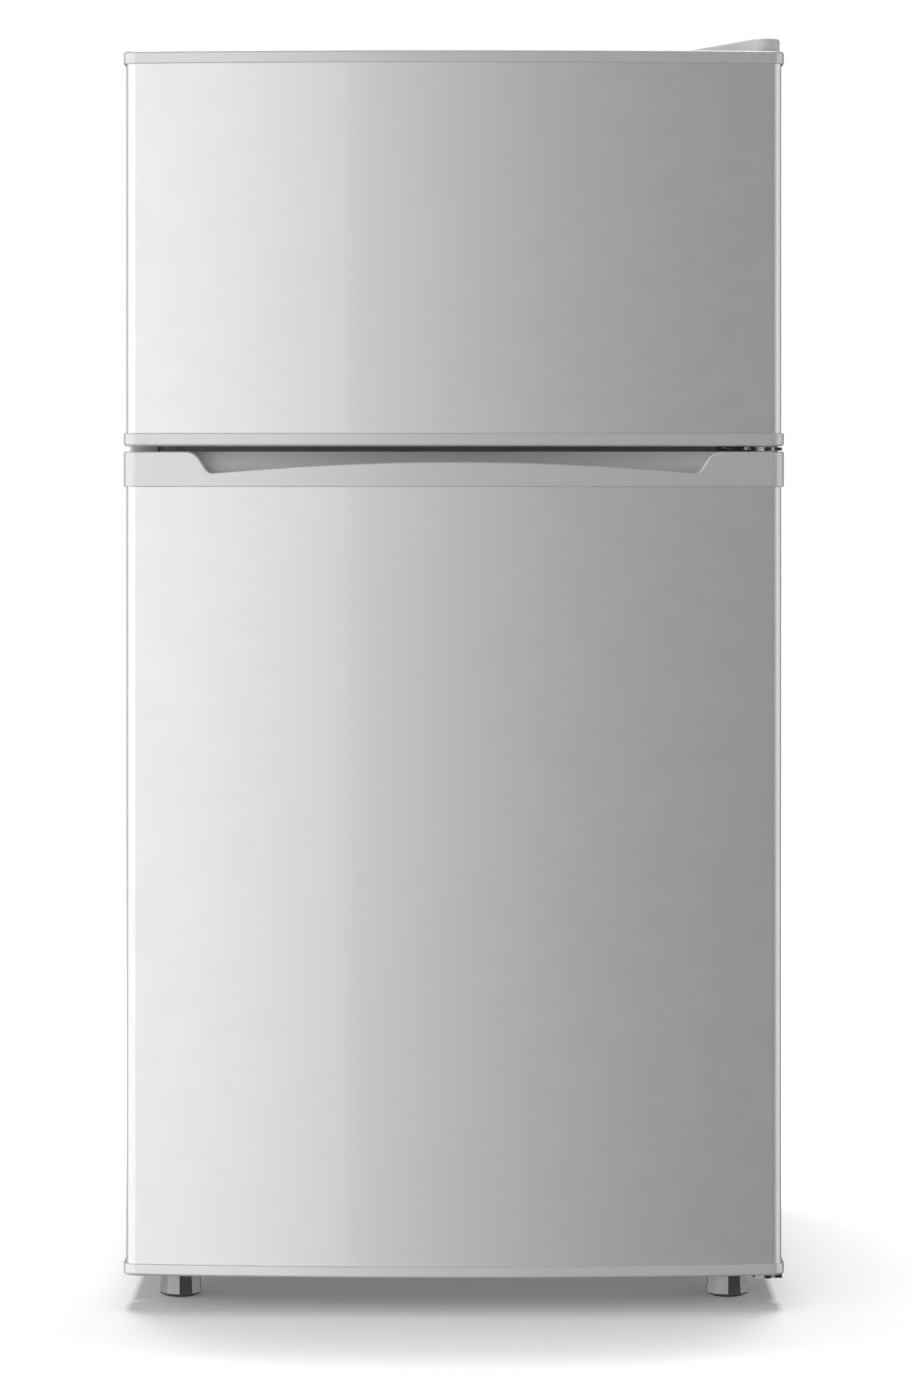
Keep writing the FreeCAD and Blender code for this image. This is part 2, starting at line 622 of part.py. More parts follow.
def bay_panel():
    """Sheet that lines the compressor bay: an upright front and a ceiling."""
    half, sheet = INNER_HALF - 0.2, 0.8
    z0 = BASE_BOTTOM + BASE_SHEET
    upright_sheet = block(-half, half, BAY_FRONT - sheet, BAY_FRONT, z0, BAY_TOP + sheet)
    ceiling = block(-half, half, BAY_FRONT - sheet, BACK - 1.9, BAY_TOP, BAY_TOP + sheet)
    drain_hole = upright(7.2, DRAIN, BAY_TOP - 5, BAY_TOP + 5)
    return cut(fuse([upright_sheet, ceiling]), [drain_hole] + tube_passages())


def fridge_cavity(grow):
    """Inside of the lower compartment, with its step over the compressor bay."""
    half = CAVITY_HALF_WIDTH + grow
    y0, low, high = CABINET_FRONT - 1, FRIDGE_FLOOR - grow, FRIDGE_CEILING + grow
    step, front, back = STEP_TOP - grow, STEP_FRONT + grow, FRIDGE_BACK + grow
    profile = [(y0, low), (front, low), (front, step), (back, step), (back, high), (y0, high)]
    solid = polygon_face([(-half, y, z) for y, z in profile]).extrude(Vector(2 * half, 0, 0))

    def step_corner(edge):
        return along(edge, X_AXIS) and abs(edge.BoundBox.YMin - front) < 0.1 and edge.BoundBox.ZMax > step - 1

    def near_step(edge):
        return along(edge, X_AXIS) and abs(edge.BoundBox.YMax - front) < 20 and edge.BoundBox.ZMin > step - 20

    solid = rounded(solid, CAVITY_RADIUS - grow, step_corner)
    return rounded(solid, CAVITY_RADIUS + grow, lambda e: e.BoundBox.YMax > y0 + 1 and not near_step(e))


def freezer_cavity(grow):
    """Inside of the upper compartment."""
    half = CAVITY_HALF_WIDTH + grow
    y0, back = CABINET_FRONT - 1, FREEZER_BACK + grow
    solid = block(-half, half, y0, back, FREEZER_FLOOR - grow, FREEZER_CEILING + grow)
    return rounded(solid, CAVITY_RADIUS + grow, lambda e: not in_plane(e, y0, "Y"))


def shelf_rib(z, y0, y1, rise=5.0, thick=6.0):
    """Moulded shelf rib on the right wall; its top is at z."""
    x = CAVITY_HALF_WIDTH
    rib = block(x - rise, x + 1, y0, y1, z - thick, z)
    return rounded(rib, 2.4, lambda e: abs(e.BoundBox.XMax - (x - rise)) < 0.01)


def liner(cavity, z0, z1, ribs, extra):
    """Moulded liner of a compartment, with its front flange and a rib pair for each shelf level."""
    flange_half = CABINET_HALF - FLANGE - 0.2
    flange = block(-flange_half, flange_half, CABINET_FRONT, CABINET_FRONT + CAVITY_WALL, z0, z1)
    outer = cavity(CAVITY_WALL).common(block(-220, 220, CABINET_FRONT, BACK, 0, 900))
    body = fuse([flange, outer]).cut(cavity(0))
    both_ribs = [shape for rib in ribs for shape in (rib, mirrored(rib))]
    return fuse([body] + both_ribs + extra)


def make_liners():
    fridge_ribs = [shelf_rib(z, -78, 178) for z in RIB_LEVELS]
    freezer_ribs = [shelf_rib(696, -100, 160)]
    gutter = rounded_block(-150, 150, 168, 172, STEP_TOP - 1, STEP_TOP + 4, 1.8, X_AXIS)
    fridge = liner(fridge_cavity, BEAM_TOP + 0.2, MULLION_LOW - 0.2, fridge_ribs, [gutter])
    fridge = fridge.cut(upright(6.0, DRAIN, STEP_TOP - 8, STEP_TOP + 6))
    freezer = liner(freezer_cavity, MULLION_HIGH + 0.2, CABINET_TOP - FLANGE - 0.2, freezer_ribs, [])
    return {"fridge_liner": fridge, "freezer_liner": freezer}


def make_foam(tools):
    """Rigid foam poured between the sheets and the liners, as the slab behind each wall."""
    x0, x1 = LINER_HALF, INNER_HALF - 0.1
    z0, z1 = BASE_BOTTOM + BASE_SHEET + 0.05, CABINET_TOP - SKIN - 0.05
    y0, y1 = CABINET_FRONT + CAVITY_WALL + 0.1, BACK - 1.9
    bay_y, bay_z = BAY_FRONT - 0.85, BAY_TOP + 0.85
    step_y, step_z = STEP_FRONT + CAVITY_WALL, STEP_TOP - CAVITY_WALL
    ceiling, floor = FRIDGE_CEILING + CAVITY_WALL, FREEZER_FLOOR - CAVITY_WALL
    side_low = block(x0, x1, y0, bay_y, z0, bay_z)
    side_high = block(x0, x1, y0, y1, bay_z, z1 - 4.2)
    slabs = [
        side_low, side_high, mirrored(side_low), mirrored(side_high),
        block(-x0, x0, y0, bay_y, z0, FRIDGE_FLOOR - CAVITY_WALL),
        block(-x0, x0, step_y, bay_y, FRIDGE_FLOOR - CAVITY_WALL, step_z),
        block(-x0, x0, bay_y, y1, bay_z, step_z),
        block(-x0, x0, FRIDGE_BACK + CAVITY_WALL, y1, step_z, ceiling),
        block(-x0, x0, y0, y1, ceiling, floor),
        block(-x0, x0, FREEZER_BACK + CAVITY_WALL, y1, floor, FREEZER_CEILING + CAVITY_WALL),
        block(-x0, x0, y0, y1, FREEZER_CEILING + CAVITY_WALL, z1),
    ]
    solids = []
    for slab in slabs:
        near = [t for t in tools if t.BoundBox.intersect(slab.BoundBox)]
        solids.append(cut(slab, near))
    return group(solids)


def make_cabinet():
    right = side_panel()
    half = CABINET_HALF - FLANGE - 0.2
    front = CABINET_FRONT
    holes = [lengthwise(SCREW_HOLE, place, front - 5, front + 5) for place in middle_screw_points()]
    holes += [mirrored(hole) for hole in holes]
    strip = block(-half, half, front, front + 0.8, MULLION_LOW, MULLION_HIGH)
    return {
        "side_panels": group([right, mirrored(right)]),
        "top_panel": top_panel(),
        "back_panel": back_panel(),
        "base_frame": base_frame(),
        "compressor_bay_panel": bay_panel(),
        "mullion_strip": cut(strip, holes),
    }


# ---- hinges ----
def hinge_nose(z0, z1):
    """Round hinge end with the ear that the door's stop boss meets when fully open."""
    nose = hinge_rod(z0, z1, NOSE_RADIUS)
    ear = rounded_block(213.4, 219.8, PIN_Y - 6.0, PIN_Y + 14.0, z0, z1, 1.2, Z_AXIS)
    neck = block(200.6, 216.0, PIN_Y, CABINET_FRONT - 0.1, z0, z1)
    return fuse([nose, ear, neck])


def middle_screw_points():
    return [(186.0, 575.0), (206.0, 567.5)]


def bottom_screw_points():
    return [(172.0, -150.0), (206.0, -150.0), (188.0, -128.0)]


def top_hinge_plate(pin_hole):
    z0, z1 = CABINET_TOP, CABINET_TOP + TOP_PLATE
    foot = polygon_face([(188.5, -178, z0), (216, -178, z0), (216, -130, z0), (167, -130, z0)])
    foot = foot.extrude(Vector(0, 0, TOP_PLATE))
    foot = rounded(foot, 3, lambda e: along(e, Z_AXIS) and e.BoundBox.YMax > -140)
    arm = block(200, 216, PIN_Y, -165, z0, z1)
    plate = fuse([hinge_rod(z0, z1, NOSE_RADIUS - 0.7), arm, foot])
    holes = [upright(BRACKET_HOLE, place, z0 - 1, z1 + 1) for place in top_screw_points()]
    return cut(plate, [pin_hole] + holes)


def middle_hinge_bracket(pin_hole):
    z, back = MULLION_PLATE_Z, CABINET_FRONT - 0.1
    tab = rounded_block(177, 217, back - PLATE, back, 562.0, 583.5, 3, Y_AXIS)
    holes = [lengthwise(BRACKET_HOLE, place, back - 5, back + 2) for place in middle_screw_points()]
    return cut(fuse([hinge_nose(z, z + PLATE), tab]), [pin_hole] + holes)


def bottom_hinge_bracket(pin_hole):
    z0, z1 = BASE_BOTTOM - BOTTOM_PLATE, BASE_BOTTOM
    wing = rounded_block(160, 216, -178, -118, z0, z1, 5, Z_AXIS)
    link = block(200.6, 216, CABINET_FRONT - 1, -165, z0, z1)
    foot_room = upright(16.5, (FRONT_FOOT_X, FRONT_FOOT_Y), 0, 60)
    holes = [upright(BRACKET_HOLE, place, z0 - 1, z1 + 1) for place in bottom_screw_points()]
    return cut(fuse([hinge_nose(z0, z1), link, wing]), [pin_hole, foot_room] + holes)


def hinge_pins():
    """The three pins, chamfered at both ends."""
    spans = [
        (FREEZER_DOOR_TOP - PIN_ENGAGEMENT, CABINET_TOP + TOP_PLATE + 0.7),
        (FRIDGE_DOOR_TOP - PIN_ENGAGEMENT, FREEZER_DOOR_BOTTOM + PIN_ENGAGEMENT),
        (BASE_BOTTOM - BOTTOM_PLATE - 0.8, DOOR_BOTTOM + PIN_ENGAGEMENT),
    ]
    pins = []
    for low, high in spans:
        pin = hinge_rod(low, high, PIN_RADIUS)
        ends = [e for e in pin.Edges if in_plane(e, low, "Z") or in_plane(e, high, "Z")]
        pins.append(pin.makeChamfer(0.8, ends))
    return group(pins)


def make_hinges():
    pin_hole = hinge_rod(0, 900, PIN_RADIUS + 0.01)
    return {
        "top_hinge_plate": top_hinge_plate(pin_hole),
        "middle_hinge_bracket": middle_hinge_bracket(pin_hole),
        "bottom_hinge_bracket": bottom_hinge_bracket(pin_hole),
        "hinge_pins": hinge_pins(),
        "top_hinge_cover": hinge_cover(),
        "cabinet_screws": group(cabinet_screws()),
        "hinge_hole_caps": group(hinge_hole_caps()),
    }


def cover_prism(inset, z0, z1):
    """Plan of the hinge cover as a prism: round over the pin, with one slanted side."""
    right, back = 218.2 - inset, -104.0 - inset
    radius = 9.7 - inset
    pin = Vector(PIN_X, PIN_Y, z0)
    slant = Vector(-31, 68, 0).normalize()
    normal = Vector(-slant.y, slant.x, 0)
    touch = pin + normal * radius
    corner = touch + slant * 92
    points = [touch, corner, Vector(corner.x, back, z0), Vector(right, back, z0), Vector(right, PIN_Y, z0)]
    sides = [Part.makeLine(a, b) for a, b in zip(points, points[1:])]
    half_turn = math.atan2(normal.y, normal.x) / 2
    nose = pin + Vector(math.cos(half_turn), math.sin(half_turn), 0) * radius
    sides.append(Part.Arc(points[-1], nose, touch).toShape())
    return Part.Face(Part.Wire(sides)).extrude(Vector(0, 0, z1 - z0))


def hinge_cover():
    """Thin moulded cover over the top hinge, held by one screw in a dished seat."""
    z0, wall = CABINET_TOP + 0.05, 1.6
    body = cover_prism(0, z0, COVER_TOP)
    body = rounded(body, 5, lambda e: along(e, Z_AXIS) and e.BoundBox.YMin > -150)
    body = rounded(body, wall, lambda e: in_plane(e, COVER_TOP, "Z"))
    body = body.cut(cover_prism(wall, z0 - 1, COVER_TOP - wall))
    dish = upright(5.5, COVER_SCREW, COVER_TOP - COVER_DISH, COVER_TOP + 1)
    seat = upright(7.0, COVER_SCREW, z0, COVER_TOP - 1)
    bore = upright(BRACKET_HOLE, COVER_SCREW, CABINET_TOP - 1, COVER_TOP + 1)
    return cut(fuse([body, seat]), [dish, bore])


def cabinet_screws():
    """The self-tapping screws that hold the hinges and the hinge cover."""
    down, up, inward = (0, 0, -1), (0, 0, 1), (0, 1, 0)
    screws = [screw((x, y, CABINET_TOP + TOP_PLATE), down) for x, y in top_screw_points()]
    screws += [screw((x, CABINET_FRONT - PLATE - 0.1, z), inward) for x, z in middle_screw_points()]
    screws += [screw((x, y, BASE_BOTTOM - BOTTOM_PLATE), up) for x, y in bottom_screw_points()]
    screws.append(screw((*COVER_SCREW, COVER_TOP - COVER_DISH), down, shank=14))
    return screws


def hinge_hole_caps():
    """Plugs on the left, where the hinges go when the doors are hung the other way."""
    back = CABINET_FRONT - 0.05
    cap = block(-218.2, -199.0, back - 4.95, back, 562.0, 586.0)
    caps = [rounded(cap, 1.5, lambda e: not in_plane(e, back, "Y"))]
    head_top = CABINET_TOP + 1.6
    for x, y in top_screw_points():
        head = upright(4.5, (-x, y), CABINET_TOP + 0.02, head_top)
        head = rounded(head, 1.0, lambda e: in_plane(e, head_top, "Z"))
        caps.append(fuse([head, upright(2.0, (-x, y), CABINET_TOP - 6, CABINET_TOP + 0.5)]))
    return caps


# ---- feet ----
def foot_grip():
    """Ten-sided tapered grip of a levelling foot, wider at the bottom."""
    def ring(z, apothem):
        radius = apothem / math.cos(math.pi / FOOT_FLATS)
        angles = [2 * math.pi * (i + 0.5) / FOOT_FLATS for i in range(FOOT_FLATS)]
        points = [Vector(radius * math.cos(a), radius * math.sin(a), z) for a in angles]
        return Part.makePolygon(points + points[:1])

    wide = ring(FOOT_GRIP_BOTTOM, FOOT_FLAT_RADIUS)
    narrow = ring(BASE_BOTTOM - 0.1, FOOT_FLAT_RADIUS - 1.6)
    grip = Part.makeLoft([wide, narrow], True, True)
    return rounded(grip, 1.4, lambda e: in_plane(e, FOOT_GRIP_BOTTOM, "Z"))


def make_feet():
    """Two levelling feet in front, each a screw and a pad, and two fixed feet at the back."""
    centre = (0, 0)
    stud = upright(STUD_RADIUS, centre, 15, STUD_TOP)
    stud = stud.makeChamfer(0.8, [e for e in stud.Edges if in_plane(e, STUD_TOP, "Z")])
    pad_room = [upright(11.3, centre, 0, 3.3), upright(4.1, centre, 0, 8.3)]
    foot_screw = cut(fuse([foot_grip(), stud]), pad_room)
    sole = rounded(upright(11.0, centre, 0, 3), 0.8, lambda e: in_plane(e, 0, "Z"))
    pad = fuse([sole, upright(4.0, centre, 2.5, 8)])
    rear = rounded(upright(13.0, centre, 0, BASE_BOTTOM), 1.5, lambda e: in_plane(e, 0, "Z"))
    nodes = {"rear_feet": group([moved(rear, side * FRONT_FOOT_X, REAR_FOOT_Y) for side in (1, -1)])}
    for name, side in (("left", -1), ("right", 1)):
        nodes[f"{name}_foot_screw"] = moved(foot_screw, side * FRONT_FOOT_X, FRONT_FOOT_Y)
        nodes[f"{name}_foot_pad"] = moved(pad, side * FRONT_FOOT_X, FRONT_FOOT_Y)
    return nodes


# ---- inside the compartments ----
def make_shelves():
    """Glass shelves with their front and rear trims, the drawer's glass lid and its rail."""
    glass, trims = [], []
    half, back = CAVITY_HALF_WIDTH - 2.5, FRIDGE_BACK - 6
    for z in SHELF_LEVELS:
        top = z + GLASS
        glass.append(rounded_block(-half, half, SHELF_FRONT, back, z + 0.02, top, 6, Z_AXIS))
        front = block(-half, half, SHELF_FRONT - 6, SHELF_FRONT + 8, z - 4, top + 3)
        front = rounded(front, 2.5, lambda e: along(e, X_AXIS))
        slot = block(-half - 1, half + 1, SHELF_FRONT - 0.1, SHELF_FRONT + 9, z - 0.05, top + 0.1)
        trims.append(front.cut(slot))
        rear = block(-half + 6, half - 6, back - 10, back + 2, z - 2.5, z + 14)
        rear = rounded(rear, 2, lambda e: along(e, X_AXIS))
        slot = block(-half - 1, half + 1, back - 11, back + 0.1, z - 0.05, top + 0.1)
        hood = block(-half, half, back - 11, back - 2, top + 0.1, z + 15)
        trims.append(cut(rear, [slot, hood]))
    z = STEP_TOP + 5
    top = z + GLASS
    glass.append(rounded_block(-half, half, DRAWER_FRONT + 6, 164, z, top, 6, Z_AXIS))
    rail = block(-half, half, DRAWER_FRONT - 2, DRAWER_FRONT + 14, z - 4, top + 3)
    rail = rounded(rail, 2.5, lambda e: along(e, X_AXIS))
    slot = block(-half - 1, half + 1, DRAWER_FRONT + 5.9, DRAWER_FRONT + 15, z - 0.1, top + 0.1)
    trims.append(rail.cut(slot))
    return {
        "shelf_glass": group(glass),
        "shelf_trims": group(trims),
        "freezer_shelf": wire_shelf(),
        "crisper_drawer": drawer(),
    }


def wire_shelf():
    """Welded wire shelf of the freezer: a frame, two stays and the cross wires."""
    half, y0, y1, z = CAVITY_HALF_WIDTH - 3.0, -112.0, 168.0, 698.2
    frame_radius, stay_radius, wire_radius, wires = 2.0, 1.4, 1.3, 15
    rods = [rod(frame_radius, (-half, y, z), (half, y, z)) for y in (y0, y1)]
    rods += [lengthwise(frame_radius, (x, z), y0, y1) for x in (-half, half)]
    rods += [rod(stay_radius, (-half, y, z - 0.3), (half, y, z - 0.3)) for y in (-20.0, 75.0)]
    corners = [Part.makeSphere(frame_radius, Vector(x, y, z)) for x in (-half, half) for y in (y0, y1)]
    pitch = 2 * half / (wires + 1)
    rods += [lengthwise(wire_radius, (-half + pitch * (i + 1), z + 1.2), y0, y1) for i in range(wires)]
    return fuse(rods + corners)


def drawer():
    """Crisper drawer with a thick, lipped front."""
    half, wall = DRAWER_HALF_WIDTH, 2.0
    y0, y1, z0, z1 = DRAWER_FRONT, DRAWER_BACK, FRIDGE_FLOOR + 0.6, DRAWER_TOP
    outer = rounded_block(-half, half, y0, y1, z0, z1 - 6, 11, Z_AXIS)
    outer = rounded(outer, 9, lambda e: in_plane(e, z0, "Z"))
    inner = rounded_block(-half + wall, half - wall, y0 + 4, y1 - wall, z0 + wall, z1, 8, Z_AXIS)
    inner = rounded(inner, 7, lambda e: in_plane(e, z0 + wall, "Z"))
    rim = rounded_block(-half - 2, half + 2, y0, y1 + 1, z1 - 9, z1 - 6, 10, Z_AXIS)
    front = rounded_block(-half - 2, half + 2, y0 - 3, y0 + 4, z0 + 14, z1, 2.5, Y_AXIS)
    grip = rounded_block(-60, 60, y0 - 4, y0 - 0.5, z1 - 34, z1 - 12, 9, Y_AXIS)
    return cut(fuse([outer, rim, front]), [inner, grip])


# ---- ceiling unit of the lower compartment ----
def control_housing():
    """Moulded housing with a lamp window, air vents and the collar of the door switch."""
    y0, z0, z1, wall = UNIT_FRONT, UNIT_BOTTOM, FRIDGE_CEILING - 0.05, 2
    outer = rounded_block(-UNIT_HALF_WIDTH, UNIT_HALF_WIDTH, y0, UNIT_BACK, z0, z1, 8, Z_AXIS)
    outer = rounded(outer, 3, lambda e: in_plane(e, z0, "Z"))
    half = UNIT_HALF_WIDTH - wall
    inner = rounded_block(-half, half, y0 + wall, UNIT_BACK - wall, z0 + wall, z1 + 1, 6, Z_AXIS)
    window = rounded_block(-68, 2, -134, -22, z0 - 1, z0 + 4, 6, Z_AXIS)
    vents = [rounded_block(x, x + 5, -90, -24, z0 - 1, z0 + 4, 2.4, Z_AXIS) for x in range(16, 70, 9)]
    holes = [lengthwise(4.2, KNOB, y0 - 1, y0 + 4), lengthwise(3.4, SWITCH, y0 - 1, y0 + 4)]
    housing = cut(outer, [inner, window] + holes + vents)
    collar = lengthwise(6.0, SWITCH, y0 + 2, y0 + 16).cut(lengthwise(3.4, SWITCH, y0, y0 + 17))
    return fuse([housing, collar])


def lamp_cover():
    """Shallow lens clipped into the housing's window."""
    z0 = UNIT_BOTTOM
    lens = rounded_block(-67.7, 1.7, -133.7, -22.3, z0 - 6, z0 + 1.9, 6, Z_AXIS)
    lens = rounded(lens, 4.5, lambda e: in_plane(e, z0 - 6, "Z"))
    hollow = rounded_block(-66.2, 0.2, -132.2, -23.8, z0 - 4.5, z0 + 3, 4.5, Z_AXIS)
    return lens.cut(rounded(hollow, 3, lambda e: in_plane(e, z0 - 4.5, "Z")))


def lamp_bulb():
    x, z = LAMP
    globe = Part.makeSphere(10.5, Vector(x, -72, z))
    return fuse([globe, lengthwise(6.5, LAMP, -72, -50), lengthwise(8.0, LAMP, -50, -34)])


def thermostat():
    x, z = KNOB
    body = rounded_block(x - 17, x + 17, UNIT_FRONT + 4, UNIT_FRONT + 40, z - 14, z + 13, 2, Y_AXIS)
    return fuse([body, lengthwise(SPINDLE_RADIUS, KNOB, UNIT_FRONT - 6, UNIT_FRONT + 5)])


def thermostat_knob():
    """Grooved dial with a raised finger ridge, pushed on the thermostat's spindle."""
    x, z = KNOB
    y0, face, radius, grooves = UNIT_FRONT, UNIT_FRONT - 9, 15.0, 24
    dial = rounded(lengthwise(radius, KNOB, face, y0 - 0.6), 1.4, lambda e: in_plane(e, face, "Y"))
    ridge = rounded_block(x - 3.2, x + 3.2, y0 - 12.5, y0 - 8, z - 13.5, z + 13.5, 2.8, Y_AXIS)
    tools = [lengthwise(SPINDLE_RADIUS + PIN_CLEARANCE, KNOB, y0 - 6.2, y0)]
    for i in range(grooves):
        angle = 2 * math.pi * i / grooves
        place = (x + (radius + 0.6) * math.cos(angle), z + (radius + 0.6) * math.sin(angle))
        tools.append(lengthwise(1.1, place, y0 - 10, y0))
    return cut(fuse([dial, ridge]), tools)


def door_switch_plunger():
    """Plunger of the lamp switch, with a stop flange; the lower door's liner meets its tip."""
    tip, end = LINER_PLANE + DYKE_RISE + 0.4, UNIT_FRONT + 24
    plunger = rounded(lengthwise(3.0, SWITCH, tip, end), 2.0, lambda e: in_plane(e, tip, "Y"))
    return fuse([plunger, lengthwise(5.0, SWITCH, end - 2, end)])


def make_controls():
    return {
        "control_housing": control_housing(),
        "lamp_cover": lamp_cover(),
        "thermostat": thermostat(),
        "thermostat_knob": thermostat_knob(),
        "door_switch_plunger": door_switch_plunger(),
        "lamp_bulb": lamp_bulb(),
    }


# ---- refrigeration ----
def compressor_feet():
    cx, cy = COMPRESSOR
    dx, dy = COMPRESSOR_FOOT
    return [(cx + i * dx, cy + j * dy) for i in (1, -1) for j in (1, -1)]


def stadium(half_length, radius, z0, z1):
    cx, cy = COMPRESSOR
    return fuse([
        Part.makeCylinder(radius, z1 - z0, Vector(cx - half_length, cy, z0)),
        Part.makeCylinder(radius, z1 - z0, Vector(cx + half_length, cy, z0)),
        block(cx - half_length, cx + half_length, cy - radius, cy + radius, z0, z1),
    ])


def compressor_body():
    """Welded shell with its seam, on a base plate with four ears."""
    cx, cy = COMPRESSOR
    dx, dy = COMPRESSOR_FOOT
    base, z0, z1 = COMPRESSOR_BASE, SHELL_BOTTOM, COMPRESSOR_BASE + COMPRESSOR_HEIGHT
    shell = rounded(stadium(20, 50, z0, z1), 26, lambda e: in_plane(e, z1, "Z"))
    shell = rounded(shell, 14, lambda e: in_plane(e, z0, "Z"))
    seam_low = z0 + COMPRESSOR_HEIGHT * 0.55
    seam_high = seam_low + 6
    seam = stadium(20, 52.5, seam_low, seam_high)
    seam = rounded(seam, 1.5, lambda e: in_plane(e, seam_low, "Z") or in_plane(e, seam_high, "Z"))
    x_ear, y_ear = dx + 14, dy + 14
    plate = rounded_block(cx - x_ear, cx + x_ear, cy - y_ear, cy + y_ear, base, z0 + 0.1, 12, Z_AXIS)
    bites = []
    for y in (cy + dy + 25, cy - dy - 25):
        bites.append(rounded_block(cx - dx + 18, cx + dx - 18, y - 18, y + 18, base - 1, z0 + 1, 8, Z_AXIS))
    holes = [upright(5.2, place, base - 1, z0 + 2) for place in compressor_feet()]
    boss = upright(18, COMPRESSOR, z0 - 2, z0 + 2)
    return fuse([shell, seam, cut(plate, bites + holes), boss])


def compressor_grommet(place):
    """Rubber spool through one ear of the base plate."""
    base_top, washer = BASE_BOTTOM + BASE_SHEET, SHELL_BOTTOM + 0.15
    spool = fuse([
        upright(9.0, place, base_top, COMPRESSOR_BASE),
        upright(5.0, place, COMPRESSOR_BASE, washer),
        upright(8.0, place, washer, GROMMET_TOP),
    ])
    return spool.cut(upright(BOLT_RADIUS + PIN_CLEARANCE, place, base_top - 1, GROMMET_TOP + 2))


def compressor_bolt(place):
    """Hexagon bolt with a washer, through a grommet and the base sheet."""
    x, y = place
    head_low = GROMMET_TOP + 1.2
    angles = [math.pi * k / 3 for k in range(6)]
    hexagon = polygon_face([(x + 6.2 * math.cos(a), y + 6.2 * math.sin(a), head_low) for a in angles])
    head = hexagon.extrude(Vector(0, 0, 4))
    shank = upright(BOLT_RADIUS, place, BASE_BOTTOM - 2, head_low + 0.8)
    return fuse([shank, upright(8.5, place, GROMMET_TOP, head_low), head])


def relay_cover():
    cx, cy = COMPRESSOR
    cover = rounded_block(cx + 73.2, cx + 104, cy - 26, cy + 26, 70, 138, 6, X_AXIS)
    return rounded(cover, 3, lambda e: in_plane(e, cx + 104, "X"))


def make_compressor():
    return {
        "compressor": compressor_body(),
        "compressor_grommets": group([compressor_grommet(place) for place in compressor_feet()]),
        "compressor_bolts": group([compressor_bolt(place) for place in compressor_feet()]),
        "compressor_relay_cover": relay_cover(),
        "evaporating_tray": tray(),
    }


def tray():
    """Defrost-water tray that sits on the warm compressor."""
    cx, cy = COMPRESSOR
    z0 = COMPRESSOR_BASE + COMPRESSOR_HEIGHT + 1
    outer = rounded_block(cx - 78, cx + 60, cy - 56, cy + 56, z0, z0 + 22, 14, Z_AXIS)
    outer = rounded(outer, 5, lambda e: in_plane(e, z0, "Z"))
    inner = rounded_block(cx - 76, cx + 58, cy - 54, cy + 54, z0 + 2, z0 + 30, 12, Z_AXIS)
    inner = rounded(inner, 4, lambda e: in_plane(e, z0 + 2, "Z"))
    return outer.cut(inner)


def coil_points(side):
    """Vertical runs of the hot-wall condenser against one side sheet, ending over the bay."""
    x, low, high = side * COIL_X, 96.0, 806.0
    columns = (-150.0, -92.0, -34.0, 24.0, 70.0, COIL_END_Y)
    points, at_top = [(x, columns[0], low)], False
    for y, next_y in zip(columns, columns[1:]):
        at_top = not at_top
        z = high if at_top else low
        points += [(x, y, z), (x, next_y, z)]
    return points + [(x, COIL_END_Y, COIL_END_Z)]


def tube_passages():
    """Holes in the bay's ceiling for the coils' ends, the suction line and the capillary."""
    holes = [(4.0, (COIL_X, COIL_END_Y)), (4.0, (-COIL_X, COIL_END_Y)), (4.5, (SUCTION_X, 150)),
             (2.2, (CAPILLARY_X, 160))]
    return [upright(radius, place, BAY_TOP - 5, BAY_TOP + 5) for radius, place in holes]


def filter_drier():
    """Swaged copper cylinder between the liquid line and the capillary."""
    x, y = DRIER
    profile = [(0, 80), (3.2, 80), (3.4, 86), (8.5, 94), (8.5, 162), (3.0, 172), (2.4, 178.5), (0, 178.5)]
    half_face = polygon_face([(x + radius, y, z) for radius, z in profile])
    body = half_face.revolve(Vector(x, y, 0), Z_AXIS, 360)
    return cut(body, [upright(COIL_TUBE + 0.05, DRIER, 79, 81.05), upright(1.15, DRIER, 178.3, 180)])


def discharge_line():
    """From the compressor to the left coil."""
    cx, cy = COMPRESSOR
    return tube([
        (cx - 60, cy - 20, 92), (-128, cy - 20, 92), (-128, 118, 92), (-160, 118, 92), (-160, 118, 150),
        (-COIL_X, 118, 150), (-COIL_X, COIL_END_Y, 150), (-COIL_X, COIL_END_Y, COIL_END_Z - 0.1),
    ], COIL_TUBE, PIPE_BEND)


def suction_line():
    """From the back wall of the freezer down to the compressor."""
    cx, cy = COMPRESSOR
    return tube([
        (cx + 52, cy + 10, 150), (62, cy + 10, 150), (62, cy + 10, 186), (SUCTION_X, cy + 10, 186),
        (SUCTION_X, 150, 186), (SUCTION_X, 150, 224), (SUCTION_X, 215, 224), (SUCTION_X, 215, 600),
        (SUCTION_X, 196, 600), (SUCTION_X, 196, 640),
    ], 3.2, PIPE_BEND)


def process_stub():
    """Short charging tube with its crimped end."""
    cx, cy = COMPRESSOR
    x = cx - 30
    stub = tube([(x, cy - 34, 90), (x, 108, 90), (x, 108, 130)], 2.8, PIPE_BEND)
    return fuse([stub, block(x - 3, x + 3, 107.2, 108.8, 129, 142)])


def capillary_line():
    """Thin tube from the drier up to the evaporator."""
    x, y = DRIER
    return tube([
        (x, y, 178.5), (x, y, 190), (CAPILLARY_X, y, 190), (CAPILLARY_X, 160, 190), (CAPILLARY_X, 160, 220),
        (CAPILLARY_X, 222, 220), (CAPILLARY_X, 222, 560),
    ], 1.1, 5.0)


def liquid_line():
    """From the right coil to the drier."""
    x, y = DRIER
    return tube([
        (COIL_X, COIL_END_Y, COIL_END_Z - 0.1), (COIL_X, COIL_END_Y, 60), (COIL_X, y, 60),
        (x, y, 60), (x, y, 81),
    ], COIL_TUBE, PIPE_BEND)


